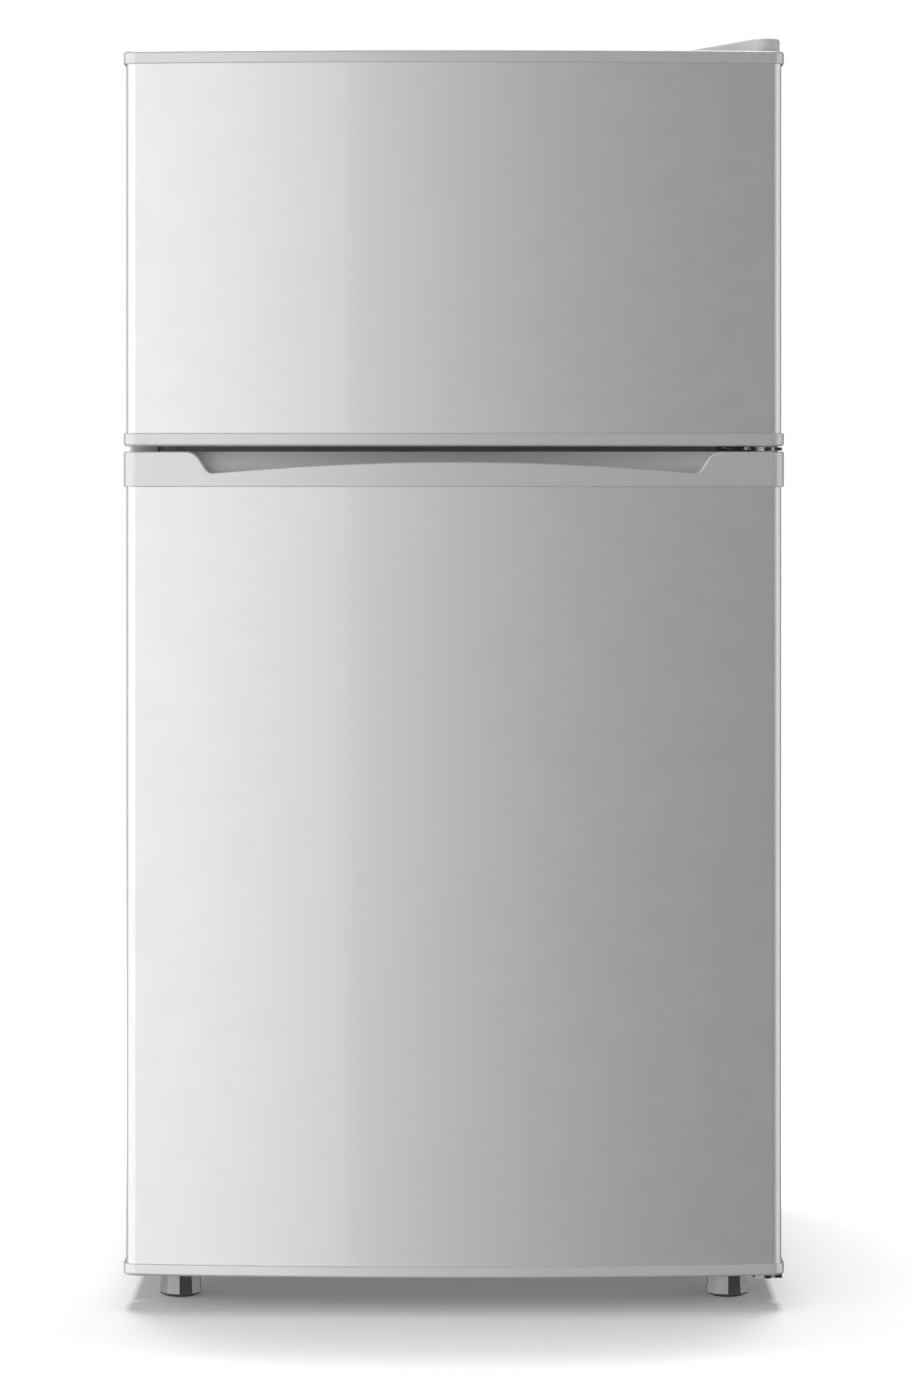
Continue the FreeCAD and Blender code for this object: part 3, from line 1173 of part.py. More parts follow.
def make_refrigeration(compressor):
    coils = [tube(coil_points(side), COIL_TUBE, 12.0) for side in (1, -1)]
    joined = [pipe.cut(compressor) for pipe in (discharge_line(), suction_line(), process_stub())]
    return {
        "condenser_coils": group(coils),
        "refrigerant_pipes": group(joined + [capillary_line(), liquid_line(), filter_drier()]),
        "evaporator_plates": group(evaporator_plates()),
        "drain_tube": drain_tube(),
        "cord_grommet": cord_grommet(),
    }


def evaporator_plates():
    """Roll-bonded plate folded round the freezer liner, and the cold plate of the fridge."""
    sheet, gap = 1.5, 0.2
    half = LINER_HALF + gap
    low, high = FREEZER_FLOOR - CAVITY_WALL - gap, FREEZER_CEILING + CAVITY_WALL + gap
    top = high + sheet
    outer = rounded_block(-half - sheet, half + sheet, -120, 150, low - sheet, top, 15, Y_AXIS)
    inner = rounded_block(-half, half, -121, 151, low, high, 13.5, Y_AXIS)
    channels = []
    for y in range(-100, 140, 36):
        channels.append(rounded_block(-150, 150, y, y + 9, top - 0.2, top + 2.2, 1.0, X_AXIS))
    cold_y = FRIDGE_BACK + CAVITY_WALL + gap
    cold = block(-130, 130, cold_y, cold_y + sheet, 290, 510)
    return [fuse([outer.cut(inner)] + channels), cold]


def drain_tube():
    """Takes the defrost water from the liner's step down into the tray."""
    tip = COMPRESSOR_BASE + COMPRESSOR_HEIGHT + 10
    wall = upright(7.0, DRAIN, tip, STEP_TOP - CAVITY_WALL - 0.05)
    return wall.cut(upright(5.8, DRAIN, tip - 1, STEP_TOP))


def cord_grommet():
    """Rubber grommet in the rear rail where the mains lead goes in."""
    front, back = REAR_RAIL_Y, REAR_RAIL_Y + BASE_SHEET
    body = fuse([
        lengthwise(6.45, CORD_INLET, front - 0.2, back + 0.2),
        lengthwise(9.0, CORD_INLET, front - 2.4, front - 0.05),
        lengthwise(9.0, CORD_INLET, back + 0.05, back + 2.4),
    ])
    return body.cut(lengthwise(CORD_INLET_RADIUS, CORD_INLET, front - 10, front + 10))


# ---- everything ----
def make_all():
    nodes = {}
    nodes.update(make_doors())
    nodes.update(make_cabinet())
    nodes.update(make_liners())
    nodes.update(make_hinges())
    nodes.update(make_feet())
    nodes.update(make_shelves())
    nodes.update(make_controls())
    nodes.update(make_compressor())
    nodes.update(make_refrigeration(nodes["compressor"]))
    embedded = ["condenser_coils", "refrigerant_pipes", "evaporator_plates", "drain_tube", "cabinet_screws",
                "hinge_hole_caps"]
    tools = [solid for name in embedded for solid in nodes[name].Solids]
    tools.append(fridge_cavity(CAVITY_WALL))
    wells = [upright(8.5, place, 0, 48) for place in front_foot_points()]
    nodes["cabinet_foam"] = make_foam(tools + wells)
    return nodes


def main():
    os.makedirs("parts", exist_ok=True)
    for old in os.listdir("parts"):
        os.remove(os.path.join("parts", old))
    nodes = make_all()
    for name, shape in sorted(nodes.items()):
        solids = shape.Solids
        if not solids or not shape.isValid() or any(s.Volume <= 0 for s in solids):
            print("PROBLEM", name, len(solids), shape.isValid(), [round(s.Volume) for s in solids])
        shape.exportStep(os.path.join("parts", name + ".step"))
    print(len(nodes), "nodes")


main()
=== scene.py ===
"""Looks of a compact two-door refrigerator: materials, door seals, dial marks, light and camera."""
import math

import bmesh
import bpy
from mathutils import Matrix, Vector


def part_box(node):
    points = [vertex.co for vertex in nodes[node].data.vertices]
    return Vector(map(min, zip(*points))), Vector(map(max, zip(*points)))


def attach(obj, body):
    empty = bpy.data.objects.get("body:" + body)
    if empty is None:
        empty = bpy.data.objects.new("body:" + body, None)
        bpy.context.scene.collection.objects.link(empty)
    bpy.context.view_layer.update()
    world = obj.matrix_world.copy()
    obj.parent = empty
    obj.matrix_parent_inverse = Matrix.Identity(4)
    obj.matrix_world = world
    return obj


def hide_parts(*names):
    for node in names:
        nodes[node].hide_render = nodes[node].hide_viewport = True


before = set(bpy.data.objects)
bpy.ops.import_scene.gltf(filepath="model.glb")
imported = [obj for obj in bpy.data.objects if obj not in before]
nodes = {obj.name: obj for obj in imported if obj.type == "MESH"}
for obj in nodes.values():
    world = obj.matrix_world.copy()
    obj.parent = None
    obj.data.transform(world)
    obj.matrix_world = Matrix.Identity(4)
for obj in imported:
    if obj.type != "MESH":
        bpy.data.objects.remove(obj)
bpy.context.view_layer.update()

scene = bpy.context.scene


# ---------------------------------------------------------------- materials
MIX_FROM, MIX_TO, MIX_RESULT = 6, 7, 2   # a Mix node's sockets for colours
WORN_WIDTH = 0.0015                      # m, how far wear reaches from an edge
LEAST_EDGE, FULL_EDGE = 0.02, 0.12       # how much a normal has to turn to count as an edge
WEAR_PATCHES = 180.0                     # per metre


class Shade:
    """A material whose Principled shader is built up with procedural detail.

    Texture scales are per metre of the object, and heights and radii are in metres.
    """

    def __init__(self, name, color, rough=0.4, metallic=0.0, **sockets):
        self.mat = bpy.data.materials.new(name)
        self.mat.use_nodes = True
        self.tree = self.mat.node_tree
        self.bsdf = self.tree.nodes["Principled BSDF"]
        self.color, self.rough = color, rough
        self.bsdf.inputs["Base Color"].default_value = (*color, 1.0)
        self.bsdf.inputs["Roughness"].default_value = rough
        self.bsdf.inputs["Metallic"].default_value = metallic
        for socket, value in sockets.items():
            self.bsdf.inputs[socket.replace("_", " ")].default_value = value
        self.coords = self.tree.nodes.new("ShaderNodeTexCoord").outputs["Object"]
        self.last_color = None
        self.height = None

    def new(self, kind, **settings):
        node = self.tree.nodes.new(kind)
        for key, value in settings.items():
            if key in node.inputs:
                node.inputs[key].default_value = value
            else:
                setattr(node, key, value)
        return node

    def link(self, out, socket):
        self.tree.links.new(out, socket)

    def noise(self, scale, detail=4.0, stretch=None):
        """A noise texture in object space, stretched along an axis if asked."""
        node = self.new("ShaderNodeTexNoise", Scale=scale, Detail=detail, Roughness=0.55)
        if stretch is None:
            self.link(self.coords, node.inputs["Vector"])
        else:
            mapping = self.new("ShaderNodeMapping")
            mapping.inputs["Scale"].default_value = stretch
            self.link(self.coords, mapping.inputs["Vector"])
            self.link(mapping.outputs["Vector"], node.inputs["Vector"])
        return node.outputs["Fac"]

    def spread(self, value, low, high, from_low=0.3, from_high=0.7):
        """The value remapped, by default from the range that noise fills, to low and high."""
        node = self.new("ShaderNodeMapRange")
        limits = {"From Min": from_low, "From Max": from_high, "To Min": low, "To Max": high}
        for key, number in limits.items():
            node.inputs[key].default_value = number
        self.link(value, node.inputs["Value"])
        return node.outputs["Result"]

    def blend(self, factor, to_color, from_color=None):
        """The base colour goes to another, from the one given or from what it has been so far."""
        mix = self.new("ShaderNodeMix", data_type="RGBA")
        if from_color is None:
            self.link(self.last_color, mix.inputs[MIX_FROM])
        else:
            mix.inputs[MIX_FROM].default_value = (*from_color, 1.0)
        mix.inputs[MIX_TO].default_value = (*to_color, 1.0)
        self.link(factor, mix.inputs["Factor"])
        self.last_color = mix.outputs[MIX_RESULT]
        self.link(self.last_color, self.bsdf.inputs["Base Color"])

    def mottle(self, scale, amount, tint=(1.0, 1.0, 1.0)):
        """Uneven colour: the base colour drifts by the amount, and darker towards the tint."""
        dark = tuple(c * (1.0 - amount) * t for c, t in zip(self.color, tint))
        bright = tuple(min(1.0, c * (1.0 + amount)) for c in self.color)
        self.blend(self.spread(self.noise(scale, 6.0), 0.0, 1.0), bright, dark)

    def uneven_gloss(self, scale, amount):
        """The roughness drifts by the amount."""
        value = self.spread(self.noise(scale, 5.0), self.rough - amount, self.rough + amount)
        self.link(value, self.bsdf.inputs["Roughness"])

    def bump(self, value, distance, strength):
        """Adds a height to those already there."""
        node = self.new("ShaderNodeBump", Strength=strength, Distance=distance)
        self.link(value, node.inputs["Height"])
        if self.height is not None:
            self.link(self.height, node.inputs["Normal"])
        self.height = node.outputs["Normal"]
        self.link(self.height, self.bsdf.inputs["Normal"])

    def grain(self, scale, distance, strength, stretch=None):
        """A fine uneven surface, stretched along an axis if asked."""
        self.bump(self.noise(scale, 2.0, stretch), distance, strength)

    def cells(self, scale, distance, strength):
        """A leathery moulded texture."""
        node = self.new("ShaderNodeTexVoronoi", Scale=scale, feature="SMOOTH_F1")
        self.link(self.coords, node.inputs["Vector"])
        self.bump(node.outputs["Distance"], distance, strength)

    def soft_edges(self, radius):
        """Sharp edges catch the light as if they had this small radius."""
        bevel = self.new("ShaderNodeBevel", samples=6, Radius=radius)
        if self.height is not None:
            self.link(self.height, bevel.inputs["Normal"])
        self.height = bevel.outputs["Normal"]
        self.link(self.height, self.bsdf.inputs["Normal"])

    def outside_box(self, half_sizes):
        """Distance to a box of these half sizes around the origin."""
        folded = self.new("ShaderNodeVectorMath", operation="ABSOLUTE")
        beyond = self.new("ShaderNodeVectorMath", operation="SUBTRACT")
        clipped = self.new("ShaderNodeVectorMath", operation="MAXIMUM")
        distance = self.new("ShaderNodeVectorMath", operation="LENGTH")
        beyond.inputs[1].default_value = half_sizes
        self.link(self.coords, folded.inputs[0])
        self.link(folded.outputs["Vector"], beyond.inputs[0])
        self.link(beyond.outputs["Vector"], clipped.inputs[0])
        self.link(clipped.outputs["Vector"], distance.inputs[0])
        return distance.outputs["Value"]

    def worn_edges(self, color):
        """Edges show another colour in patches, as where paint or plating has rubbed."""
        bevel = self.new("ShaderNodeBevel", samples=4, Radius=WORN_WIDTH)
        geometry = self.new("ShaderNodeNewGeometry")
        dot = self.new("ShaderNodeVectorMath", operation="DOT_PRODUCT")
        self.link(bevel.outputs["Normal"], dot.inputs[0])
        self.link(geometry.outputs["Normal"], dot.inputs[1])
        edge = self.spread(dot.outputs["Value"], 1.0, 0.0, 1.0 - FULL_EDGE, 1.0 - LEAST_EDGE)
        patch = self.spread(self.noise(WEAR_PATCHES), 0.0, 1.0, 0.35, 0.65)
        both = self.new("ShaderNodeMath", operation="MULTIPLY")
        self.link(edge, both.inputs[0])
        self.link(patch, both.inputs[1])
        self.blend(both.outputs["Value"], color)


def door_paint():
    """Silver-white baked enamel: metallic flake under a clear coat, with faint orange peel."""
    shade = Shade("door_paint", (0.80, 0.80, 0.805), rough=0.45, metallic=0.62,
                  Coat_Weight=0.6, Coat_Roughness=0.06, Coat_IOR=1.5)
    flake = shade.new("ShaderNodeTexVoronoi", Scale=5200.0)
    shade.link(shade.coords, flake.inputs["Vector"])
    shade.mottle(3.0, 0.012)
    shade.uneven_gloss(60.0, 0.02)
    shade.bump(flake.outputs["Distance"], 0.000012, 0.35)
    shade.grain(420.0, 0.000010, 0.5)
    return shade.mat


def cabinet_paint():
    """Side and top sheets: pale grey enamel with a fine pressed texture."""
    shade = Shade("cabinet_paint", (0.62, 0.625, 0.63), rough=0.45, metallic=0.25,
                  Coat_Weight=0.2, Coat_Roughness=0.25)
    shade.mottle(4.0, 0.02)
    shade.uneven_gloss(35.0, 0.04)
    shade.cells(900.0, 0.00006, 0.5)
    return shade.mat


def cap_plastic(name, grey):
    """Injection-moulded caps, sprayed to match the doors."""
    shade = Shade(name, (grey, grey, grey + 0.005), rough=0.36, metallic=0.25,
                  Coat_Weight=0.35, Coat_Roughness=0.16)
    shade.mottle(9.0, 0.015)
    shade.uneven_gloss(90.0, 0.03)
    shade.grain(2400.0, 0.000018, 0.5)
    shade.soft_edges(0.0006)
    return shade.mat


def plain_plastic(name, color, rough, coat=0.0, amount=0.015):
    """Moulded plastic with a fine cellular texture."""
    shade = Shade(name, color, rough=rough, Coat_Weight=coat, Coat_Roughness=0.2)
    shade.mottle(14.0, amount)
    shade.uneven_gloss(120.0, 0.04)
    shade.cells(1400.0, 0.00004, 0.5)
    return shade.mat


def liner_plastic():
    """Glossy thermoformed polystyrene: slow waviness where the sheet was stretched."""
    shade = Shade("liner_plastic", (0.86, 0.87, 0.87), rough=0.24,
                  Subsurface_Weight=0.05, Subsurface_Radius=(0.002, 0.002, 0.002))
    shade.mottle(6.0, 0.012)
    shade.uneven_gloss(18.0, 0.05)
    shade.grain(22.0, 0.0004, 0.35)
    shade.grain(900.0, 0.00001, 0.5)
    return shade.mat


def clear_plastic(name, tint, rough, transmission=0.92):
    """Clear or milky moulded plastic, with the slow waviness of thin walls."""
    shade = Shade(name, tint, rough=rough, IOR=1.49, Transmission_Weight=transmission)
    shade.mottle(10.0, 0.01)
    shade.uneven_gloss(30.0, 0.03)
    shade.grain(60.0, 0.00012, 0.4)
    return shade.mat


def shelf_glass():
    """Toughened glass with a green cast and faint roller waves."""
    shade = Shade("tempered_glass", (0.80, 0.90, 0.87), rough=0.04, IOR=1.52, Transmission_Weight=1.0)
    shade.mottle(5.0, 0.01)
    shade.uneven_gloss(8.0, 0.02)
    shade.grain(9.0, 0.00015, 0.3)
    return shade.mat


def galvanised():
    """Hot-dipped sheet with its crystal spangle."""
    shade = Shade("galvanised_sheet", (0.60, 0.61, 0.62), rough=0.38, metallic=0.95)
    cell = shade.new("ShaderNodeTexVoronoi", Scale=140.0, Randomness=1.0)
    shade.link(shade.coords, cell.inputs["Vector"])
    grey = shade.new("ShaderNodeSeparateColor")
    shade.link(cell.outputs["Color"], grey.inputs["Color"])
    shade.blend(grey.outputs["Red"], (0.65, 0.66, 0.67), (0.57, 0.58, 0.59))
    shade.link(shade.spread(grey.outputs["Green"], 0.38, 0.46, 0.0, 1.0), shade.bsdf.inputs["Roughness"])
    shade.grain(220.0, 0.00003, 0.5)
    return shade.mat


def plated():
    """Black zinc plating, bright where edges and screw heads have rubbed."""
    shade = Shade("black_zinc_plating", (0.20, 0.20, 0.205), rough=0.22, metallic=1.0)
    shade.mottle(140.0, 0.18, tint=(0.95, 0.97, 1.0))
    shade.uneven_gloss(260.0, 0.09)
    shade.grain(500.0, 0.00002, 0.5, stretch=(1.0, 1.0, 0.15))
    shade.worn_edges((0.85, 0.85, 0.84))
    return shade.mat


def copper():
    """Drawn tube, browned in patches."""
    shade = Shade("copper_tube", (0.72, 0.37, 0.24), rough=0.32, metallic=1.0)
    shade.mottle(45.0, 0.22, tint=(0.80, 0.75, 0.72))
    shade.uneven_gloss(150.0, 0.10)
    shade.grain(700.0, 0.00002, 0.5)
    return shade.mat


def aluminium():
    """Rolled sheet, with its grain across the width."""
    shade = Shade("aluminium_sheet", (0.74, 0.75, 0.76), rough=0.34, metallic=1.0)
    shade.mottle(20.0, 0.06)
    shade.grain(300.0, 0.00003, 0.5, stretch=(0.1, 1.0, 1.0))
    return shade.mat


def black_enamel():
    """Stoved black paint on the compressor: glossy, with orange peel and scuffed edges."""
    shade = Shade("compressor_enamel", (0.018, 0.018, 0.020), rough=0.28,
                  Coat_Weight=0.4, Coat_Roughness=0.12)
    shade.mottle(12.0, 0.35)
    shade.uneven_gloss(40.0, 0.10)
    shade.grain(240.0, 0.00012, 0.6)
    shade.worn_edges((0.16, 0.15, 0.14))
    return shade.mat


def rubber(name, color, rough, grain_scale, amount):
    """Matt rubber or vinyl with a fine grain."""
    shade = Shade(name, color, rough=rough)
    shade.mottle(60.0, amount)
    shade.uneven_gloss(90.0, 0.08)
    shade.grain(grain_scale, 0.00005, 0.6)
    return shade.mat


def foot_plastic():
    """Dark, glossy moulding with a slight metallic flake."""
    shade = Shade("foot_plastic", (0.20, 0.20, 0.205), rough=0.26, metallic=0.6,
                  Coat_Weight=0.8, Coat_Roughness=0.12)
    shade.mottle(80.0, 0.12)
    shade.uneven_gloss(160.0, 0.06)
    shade.cells(2200.0, 0.00005, 0.5)
    return shade.mat


def wire_coating():
    """White plastic dip on steel wire."""
    shade = Shade("wire_coating", (0.88, 0.88, 0.88), rough=0.30, Coat_Weight=0.3, Coat_Roughness=0.15)
    shade.mottle(50.0, 0.02)
    shade.grain(500.0, 0.00006, 0.5)
    return shade.mat


def insulation():
    """Rigid polyurethane foam: cream, with open cells where it's cut."""
    shade = Shade("insulation_foam", (0.82, 0.74, 0.50), rough=0.9)
    shade.mottle(40.0, 0.08)
    shade.cells(700.0, 0.0006, 0.8)
    return shade.mat


def frosted():
    """Bulb glass etched on the inside."""
    shade = Shade("frosted_bulb", (0.93, 0.92, 0.88), rough=0.55, Transmission_Weight=0.35)
    shade.mottle(30.0, 0.02)
    shade.grain(1200.0, 0.00002, 0.5)
    return shade.mat


PAINT, CABINET = door_paint(), cabinet_paint()
# The bottom cap is the same plastic as the other caps; its lighter grey is painted light.
CAP, LIT_BASE_CAP = cap_plastic("cap_plastic", 0.74), cap_plastic("base_cap_plastic_painted_light", 0.81)
LINER, GLASS, GALVANISED, PLATED = liner_plastic(), shelf_glass(), galvanised(), plated()
COPPER, ALUMINIUM, ENAMEL = copper(), aluminium(), black_enamel()
COVER = plain_plastic("cover_plastic", (0.70, 0.705, 0.71), 0.40)
WHITE = plain_plastic("white_plastic", (0.84, 0.845, 0.84), 0.33, coat=0.2)
NYLON = plain_plastic("nylon", (0.80, 0.79, 0.74), 0.5)
POINTER = plain_plastic("dial_ink", (0.10, 0.13, 0.18), 0.45, amount=0.08)
BLACK = plain_plastic("black_plastic", (0.03, 0.03, 0.032), 0.42, amount=0.1)
SEAL = rubber("seal_vinyl", (0.60, 0.61, 0.62), 0.5, 900.0, 0.025)
RUBBER = rubber("black_rubber", (0.025, 0.025, 0.026), 0.62, 1500.0, 0.15)
FOOT, WIRE, FOAM, BULB = foot_plastic(), wire_coating(), insulation(), frosted()
RACK = clear_plastic("rack_plastic", (0.93, 0.96, 0.97), 0.12)
DRAWER = clear_plastic("drawer_plastic", (0.90, 0.94, 0.96), 0.16)
LENS = clear_plastic("lens_plastic", (0.93, 0.94, 0.93), 0.30, 0.7)

FINISH = {
    PAINT: ["freezer_door_panel", "fridge_door_panel"],
    CABINET: ["side_panels", "top_panel", "back_panel", "mullion_strip"],
    CAP: ["freezer_door_top_cap", "freezer_door_bottom_cap", "fridge_door_handle_cap"],
    # bottom cap: the cap plastic in a lighter grey, as painted light
    LIT_BASE_CAP: ["fridge_door_bottom_cap"],
    LINER: ["freezer_liner", "fridge_liner", "freezer_door_liner", "fridge_door_liner"],
    GALVANISED: ["base_frame", "compressor_bay_panel", "thermostat"],
    PLATED: ["top_hinge_plate", "middle_hinge_bracket", "bottom_hinge_bracket", "hinge_pins",
             "cabinet_screws", "compressor_bolts"],
    COVER: ["top_hinge_cover", "hinge_hole_caps"],
    WHITE: ["shelf_trims", "control_housing", "thermostat_knob", "door_switch_plunger"],
    GLASS: ["shelf_glass"],
    RACK: ["bottle_rack", "middle_rack", "upper_rack", "freezer_lower_rack", "freezer_upper_rack"],
    DRAWER: ["crisper_drawer"],
    LENS: ["lamp_cover"],
    BULB: ["lamp_bulb"],
    WIRE: ["freezer_shelf"],
    ENAMEL: ["compressor"],
    BLACK: ["compressor_relay_cover", "evaporating_tray"],
    RUBBER: ["rear_feet", "left_foot_pad", "right_foot_pad", "compressor_grommets", "cord_grommet"],
    FOOT: ["left_foot_screw", "right_foot_screw"],
    COPPER: ["condenser_coils", "refrigerant_pipes"],
    ALUMINIUM: ["evaporator_plates"],
    NYLON: ["drain_tube", "freezer_door_bushings", "fridge_door_bushings"],
    SEAL: ["freezer_door_gasket", "fridge_door_gasket"],
    FOAM: ["cabinet_foam", "freezer_door_foam", "fridge_door_foam"],
}
for material, names in FINISH.items():
    for name in names:
        for slot in nodes[name].material_slots:
            slot.material = material


# ---------------------------------------------------------------- pieces that need more detail
# Each point is (inset from the seal's outer edge, depth from the door), in millimetres.
SEAL_PROFILE = [
    (0.5, 0.0), (13.5, 0.0), (13.5, 1.2), (11.5, 1.7), (12.6, 2.5), (13.2, 3.4), (12.6, 4.3), (11.0, 4.9),
    (12.8, 5.3), (13.6, 6.0), (13.8, 7.6), (13.4, 9.1), (12.5, 9.6), (2.2, 9.6), (1.2, 9.2), (0.6, 8.0),
    (0.6, 6.2), (1.4, 5.4), (3.4, 4.9), (1.8, 4.2), (1.2, 3.4), (1.8, 2.5), (3.2, 1.7), (0.5, 1.2),
]
SEAL_CREASE = math.radians(55)

# The thermostat's pointer and scale marks, in metres.
POINTER_RISE = 0.009                    # from the knob's centre
POINTER_SIZE = (0.0012, 0.0002, 0.0065)
POINTER_SINK = 0.0001                   # into the knob's ridge
MARK_REACH = 0.0183                     # from the knob's centre
MARK_ANGLES = (210, 190, 170, 150, 30, 10, -10, -30)
MARK_LENGTH, MARK_GROWTH = 0.0012, 0.0002
MARK_THICKNESS, MARK_WIDTH = 0.0004, 0.0008
MARK_SINK = 0.00005
BAR_TAPER = 0.7                         # a bar's face against its foot


def make_piece(name, verts, faces, material, body):
    """A mesh piece that moves with a CAD body."""
    mesh = bpy.data.meshes.new(name)
    mesh.from_pydata(verts, [], faces)
    shape = bmesh.new()
    shape.from_mesh(mesh)
    bmesh.ops.recalc_face_normals(shape, faces=shape.faces)
    shape.to_mesh(mesh)
    shape.free()
    mesh.materials.append(material)
    piece = bpy.data.objects.new(name, mesh)
    scene.collection.objects.link(piece)
    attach(piece, body)
    return piece


def make_seal(door):
    """Magnetic seal: a foot, a bellows pleat and the magnet's pocket, mitred at the corners."""
    node = door + "_gasket"
    (x0, y0, z0), (x1, _, z1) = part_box(node)
    verts, faces = [], []
    for inset, depth in SEAL_PROFILE:
        step, y = inset / 1000, y0 + depth / 1000
        verts += [(x0 + step, y, z0 + step), (x1 - step, y, z0 + step),
                  (x1 - step, y, z1 - step), (x0 + step, y, z1 - step)]
    rings = len(SEAL_PROFILE)
    for ring in range(rings):
        low, high = 4 * ring, 4 * ((ring + 1) % rings)   # four corners to a ring
        for corner in range(4):
            after = (corner + 1) % 4
            faces.append((low + corner, low + after, high + after, high + corner))
    seal = make_piece(door + "_seal", verts, faces, SEAL, door)
    seal.data.shade_smooth()
    seal.data.set_sharp_from_angle(angle=SEAL_CREASE)
    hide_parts(node)


def bar(centre, size, turn=0.0):
    """Corners and faces of a small raised bar, narrower at its face, turned about Y."""
    half_x, depth, half_z = size[0] / 2, size[1], size[2] / 2
    corners = [(-half_x, -half_z), (half_x, -half_z), (half_x, half_z), (-half_x, half_z)]
    verts = []
    for y, scale in ((0.0, 1.0), (-depth, BAR_TAPER)):
        for x, z in corners:
            across, up = x * scale, z * scale
            verts.append((centre[0] + across * math.cos(turn) - up * math.sin(turn), centre[1] + y,
                          centre[2] + across * math.sin(turn) + up * math.cos(turn)))
    faces = [(0, 1, 2, 3), (7, 6, 5, 4)] + [(i, (i + 1) % 4, 4 + (i + 1) % 4, 4 + i) for i in range(4)]
    return verts, faces


def make_dial_marks():
    """A painted pointer on the knob's ridge and moulded marks beside the dial."""
    (x0, front, z0), (x1, _, z1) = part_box("thermostat_knob")
    centre_x, centre_z = (x0 + x1) / 2, (z0 + z1) / 2
    verts, faces = bar((centre_x, front + POINTER_SINK, centre_z + POINTER_RISE), POINTER_SIZE)
    make_piece("knob_pointer", verts, faces, POINTER, "thermostat_knob")
    housing_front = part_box("control_housing")[0][1]
    verts, faces = [], []
    for step, angle in enumerate(MARK_ANGLES):
        turn = math.radians(angle)
        across, up = MARK_REACH * math.cos(turn), MARK_REACH * math.sin(turn)
        place = (centre_x + across, housing_front + MARK_SINK, centre_z + up)
        length = MARK_LENGTH + MARK_GROWTH * step
        more, sides = bar(place, (length, MARK_THICKNESS, MARK_WIDTH), turn)
        faces += [tuple(i + len(verts) for i in side) for side in sides]
        verts += more
    make_piece("dial_marks", verts, faces, POINTER, "cabinet")


for door in ("freezer_door", "fridge_door"):
    make_seal(door)
make_dial_marks()


# ---------------------------------------------------------------- floor, light and camera
# Places and sizes are in metres, and the lights' powers in watts.
FLOOR_SIZE = 14.0
PAINTED_SHADOW_BOX = (0.182, 0.200, 1.0)      # half sizes of the box that the floor's glow grows away from; the weak glow near it is a painted shadow
NEAR_SHADOW_GLOW, NEAR_SHADOW_REACH = (0.10, 0.18), (0.026, 0.062)   # glow strengths of the painted shadow, and distances they change over
FAR_SHADOW_GLOW, FAR_SHADOW_REACH = (0.0, 0.82), (0.17, 0.50)
SURROUND, SURROUND_STRENGTH = (0.55, 0.55, 0.56), 0.16
CAMERA_PLACE = (0.0018, -3.327, 0.559)
SENSOR_WIDTH, FOCAL_LENGTH = 36.0, 119.9   # mm
CAMERA_SHIFT = -0.1628                  # the picture is lower than straight ahead of the lens
OVERHEAD_PLACE, OVERHEAD_SIZE, OVERHEAD_AIM = (0, 0.5, 2.3), (1.5, 1.2), (0, 0.1, 0)


def card(name, centre, size, target, energy):
    """A rectangular studio light facing a point, unseen by the camera."""
    data = bpy.data.lights.new(name, "AREA")
    data.shape = "RECTANGLE"
    data.size, data.size_y = size
    data.energy = energy
    lamp = bpy.data.objects.new(name, data)
    lamp.location = centre
    lamp.rotation_euler = (Vector(target) - Vector(centre)).to_track_quat("-Z", "Y").to_euler()
    lamp.visible_camera = False
    scene.collection.objects.link(lamp)
    return lamp


def light_only(lamp, piece):
    """The lamp lights one piece; everything else still casts a shadow on it."""
    lit = bpy.data.collections.new(lamp.name + "_receivers")
    lit.objects.link(piece)
    lamp.light_linking.receiver_collection = lit


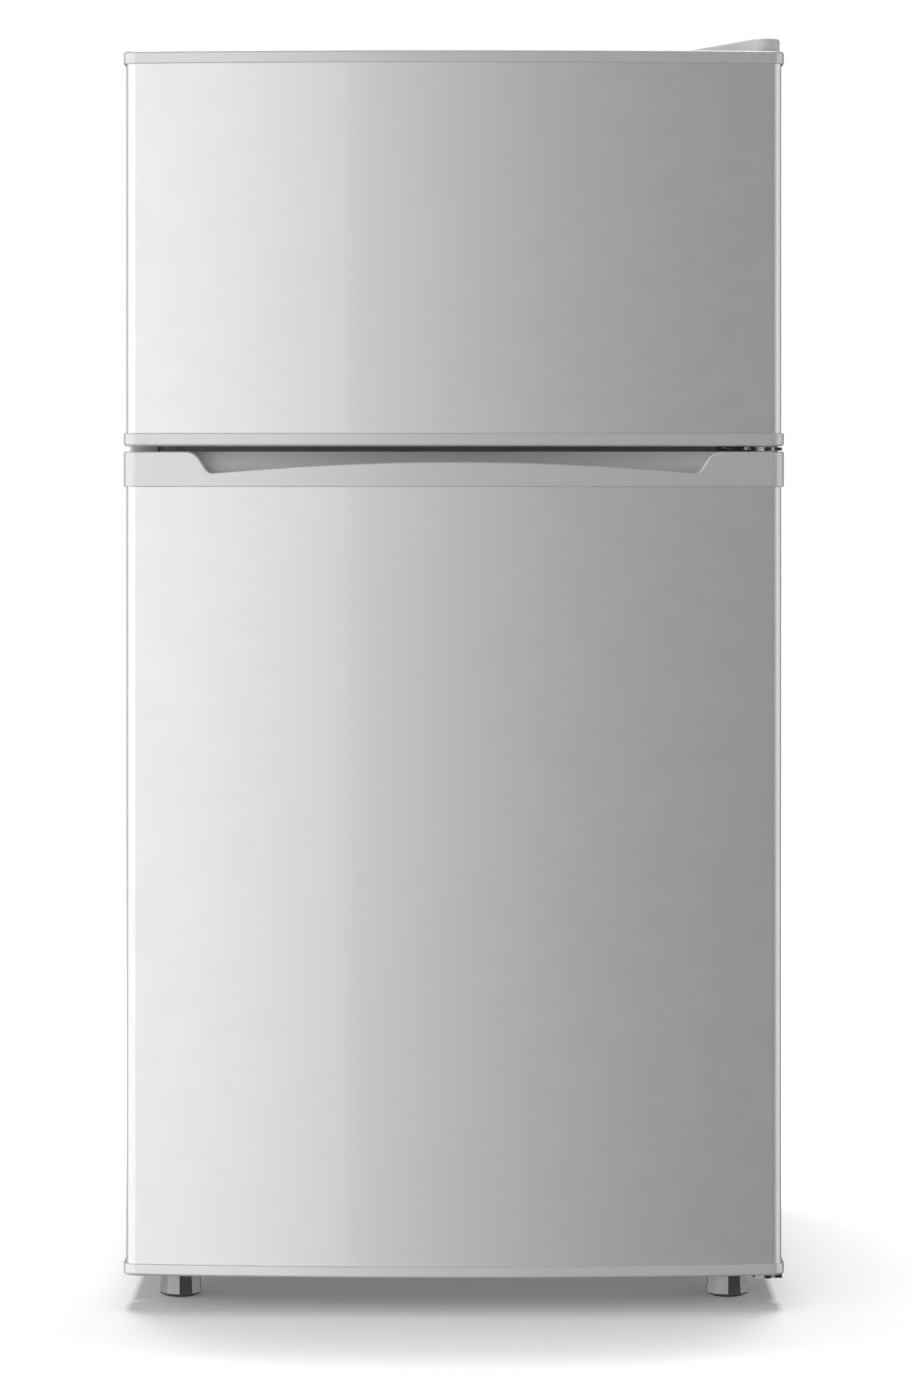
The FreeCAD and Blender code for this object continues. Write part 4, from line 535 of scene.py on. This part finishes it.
def make_floor():
    """Pale floor that glows a little, and less beside and under the object: a painted shadow."""
    mesh = bpy.data.meshes.new("floor")
    shape = bmesh.new()
    bmesh.ops.create_grid(shape, x_segments=2, y_segments=2, size=FLOOR_SIZE)
    shape.to_mesh(mesh)
    shape.free()
    floor = bpy.data.objects.new("floor", mesh)
    scene.collection.objects.link(floor)
    shade = Shade("studio_floor_painted_shadow", (0.93, 0.93, 0.93), rough=0.55)
    shade.mottle(1.5, 0.004)
    # The glow is weakest under and beside the object, painting its shadow on the floor.
    distance = shade.outside_box(PAINTED_SHADOW_BOX)
    near_shadow_glow = shade.spread(distance, *NEAR_SHADOW_GLOW, *NEAR_SHADOW_REACH)
    far_shadow_glow = shade.spread(distance, *FAR_SHADOW_GLOW, *FAR_SHADOW_REACH)
    shadow_glow = shade.new("ShaderNodeMath", operation="ADD")
    shade.link(near_shadow_glow, shadow_glow.inputs[0])
    shade.link(far_shadow_glow, shadow_glow.inputs[1])
    shade.link(shadow_glow.outputs["Value"], shade.bsdf.inputs["Emission Strength"])
    shade.bsdf.inputs["Emission Color"].default_value = (1.0, 1.0, 1.0, 1.0)
    mesh.materials.append(shade.mat)
    floor.visible_diffuse = False
    floor.visible_glossy = False
    floor.visible_shadow = False
    return floor


def make_world():
    """White to the camera; a dim grey surround for everything else."""
    world = bpy.data.worlds.new("studio")
    scene.world = world
    world.use_nodes = True
    tree = world.node_tree
    tree.nodes.clear()
    out = tree.nodes.new("ShaderNodeOutputWorld")
    mix = tree.nodes.new("ShaderNodeMixShader")
    path = tree.nodes.new("ShaderNodeLightPath")
    dim, white = tree.nodes.new("ShaderNodeBackground"), tree.nodes.new("ShaderNodeBackground")
    dim.inputs["Color"].default_value = (*SURROUND, 1.0)
    dim.inputs["Strength"].default_value = SURROUND_STRENGTH
    white.inputs["Color"].default_value = (1.0, 1.0, 1.0, 1.0)
    white.inputs["Strength"].default_value = 1.0
    tree.links.new(path.outputs["Is Camera Ray"], mix.inputs[0])
    tree.links.new(dim.outputs[0], mix.inputs[1])
    tree.links.new(white.outputs[0], mix.inputs[2])
    tree.links.new(mix.outputs[0], out.inputs[0])


def make_camera():
    data = bpy.data.cameras.new("camera")
    data.sensor_width = SENSOR_WIDTH
    data.lens = FOCAL_LENGTH
    data.shift_y = CAMERA_SHIFT
    camera = bpy.data.objects.new("camera", data)
    camera.location = CAMERA_PLACE
    camera.rotation_euler = (math.radians(90), 0, 0)
    scene.collection.objects.link(camera)
    scene.camera = camera


floor = make_floor()
make_world()
make_camera()
card("left_softbox", (-1.66, -3.2, 0.6), (2.6, 5.0), (-1.66, 0.0, 0.6), 66)
card("left_fill", (-2.0, -0.8, 0.7), (2.8, 3.4), (0, -0.6, 0.7), 42)
card("right_rim", (1.75, -0.30, 0.6), (1.8, 2.4), (0.2, -0.2, 0.5), 15)
card("overhead", OVERHEAD_PLACE, OVERHEAD_SIZE, OVERHEAD_AIM, 22)
light_only(card("floor_overhead", OVERHEAD_PLACE, OVERHEAD_SIZE, OVERHEAD_AIM, 61), floor)
scene.view_settings.view_transform = "Standard"
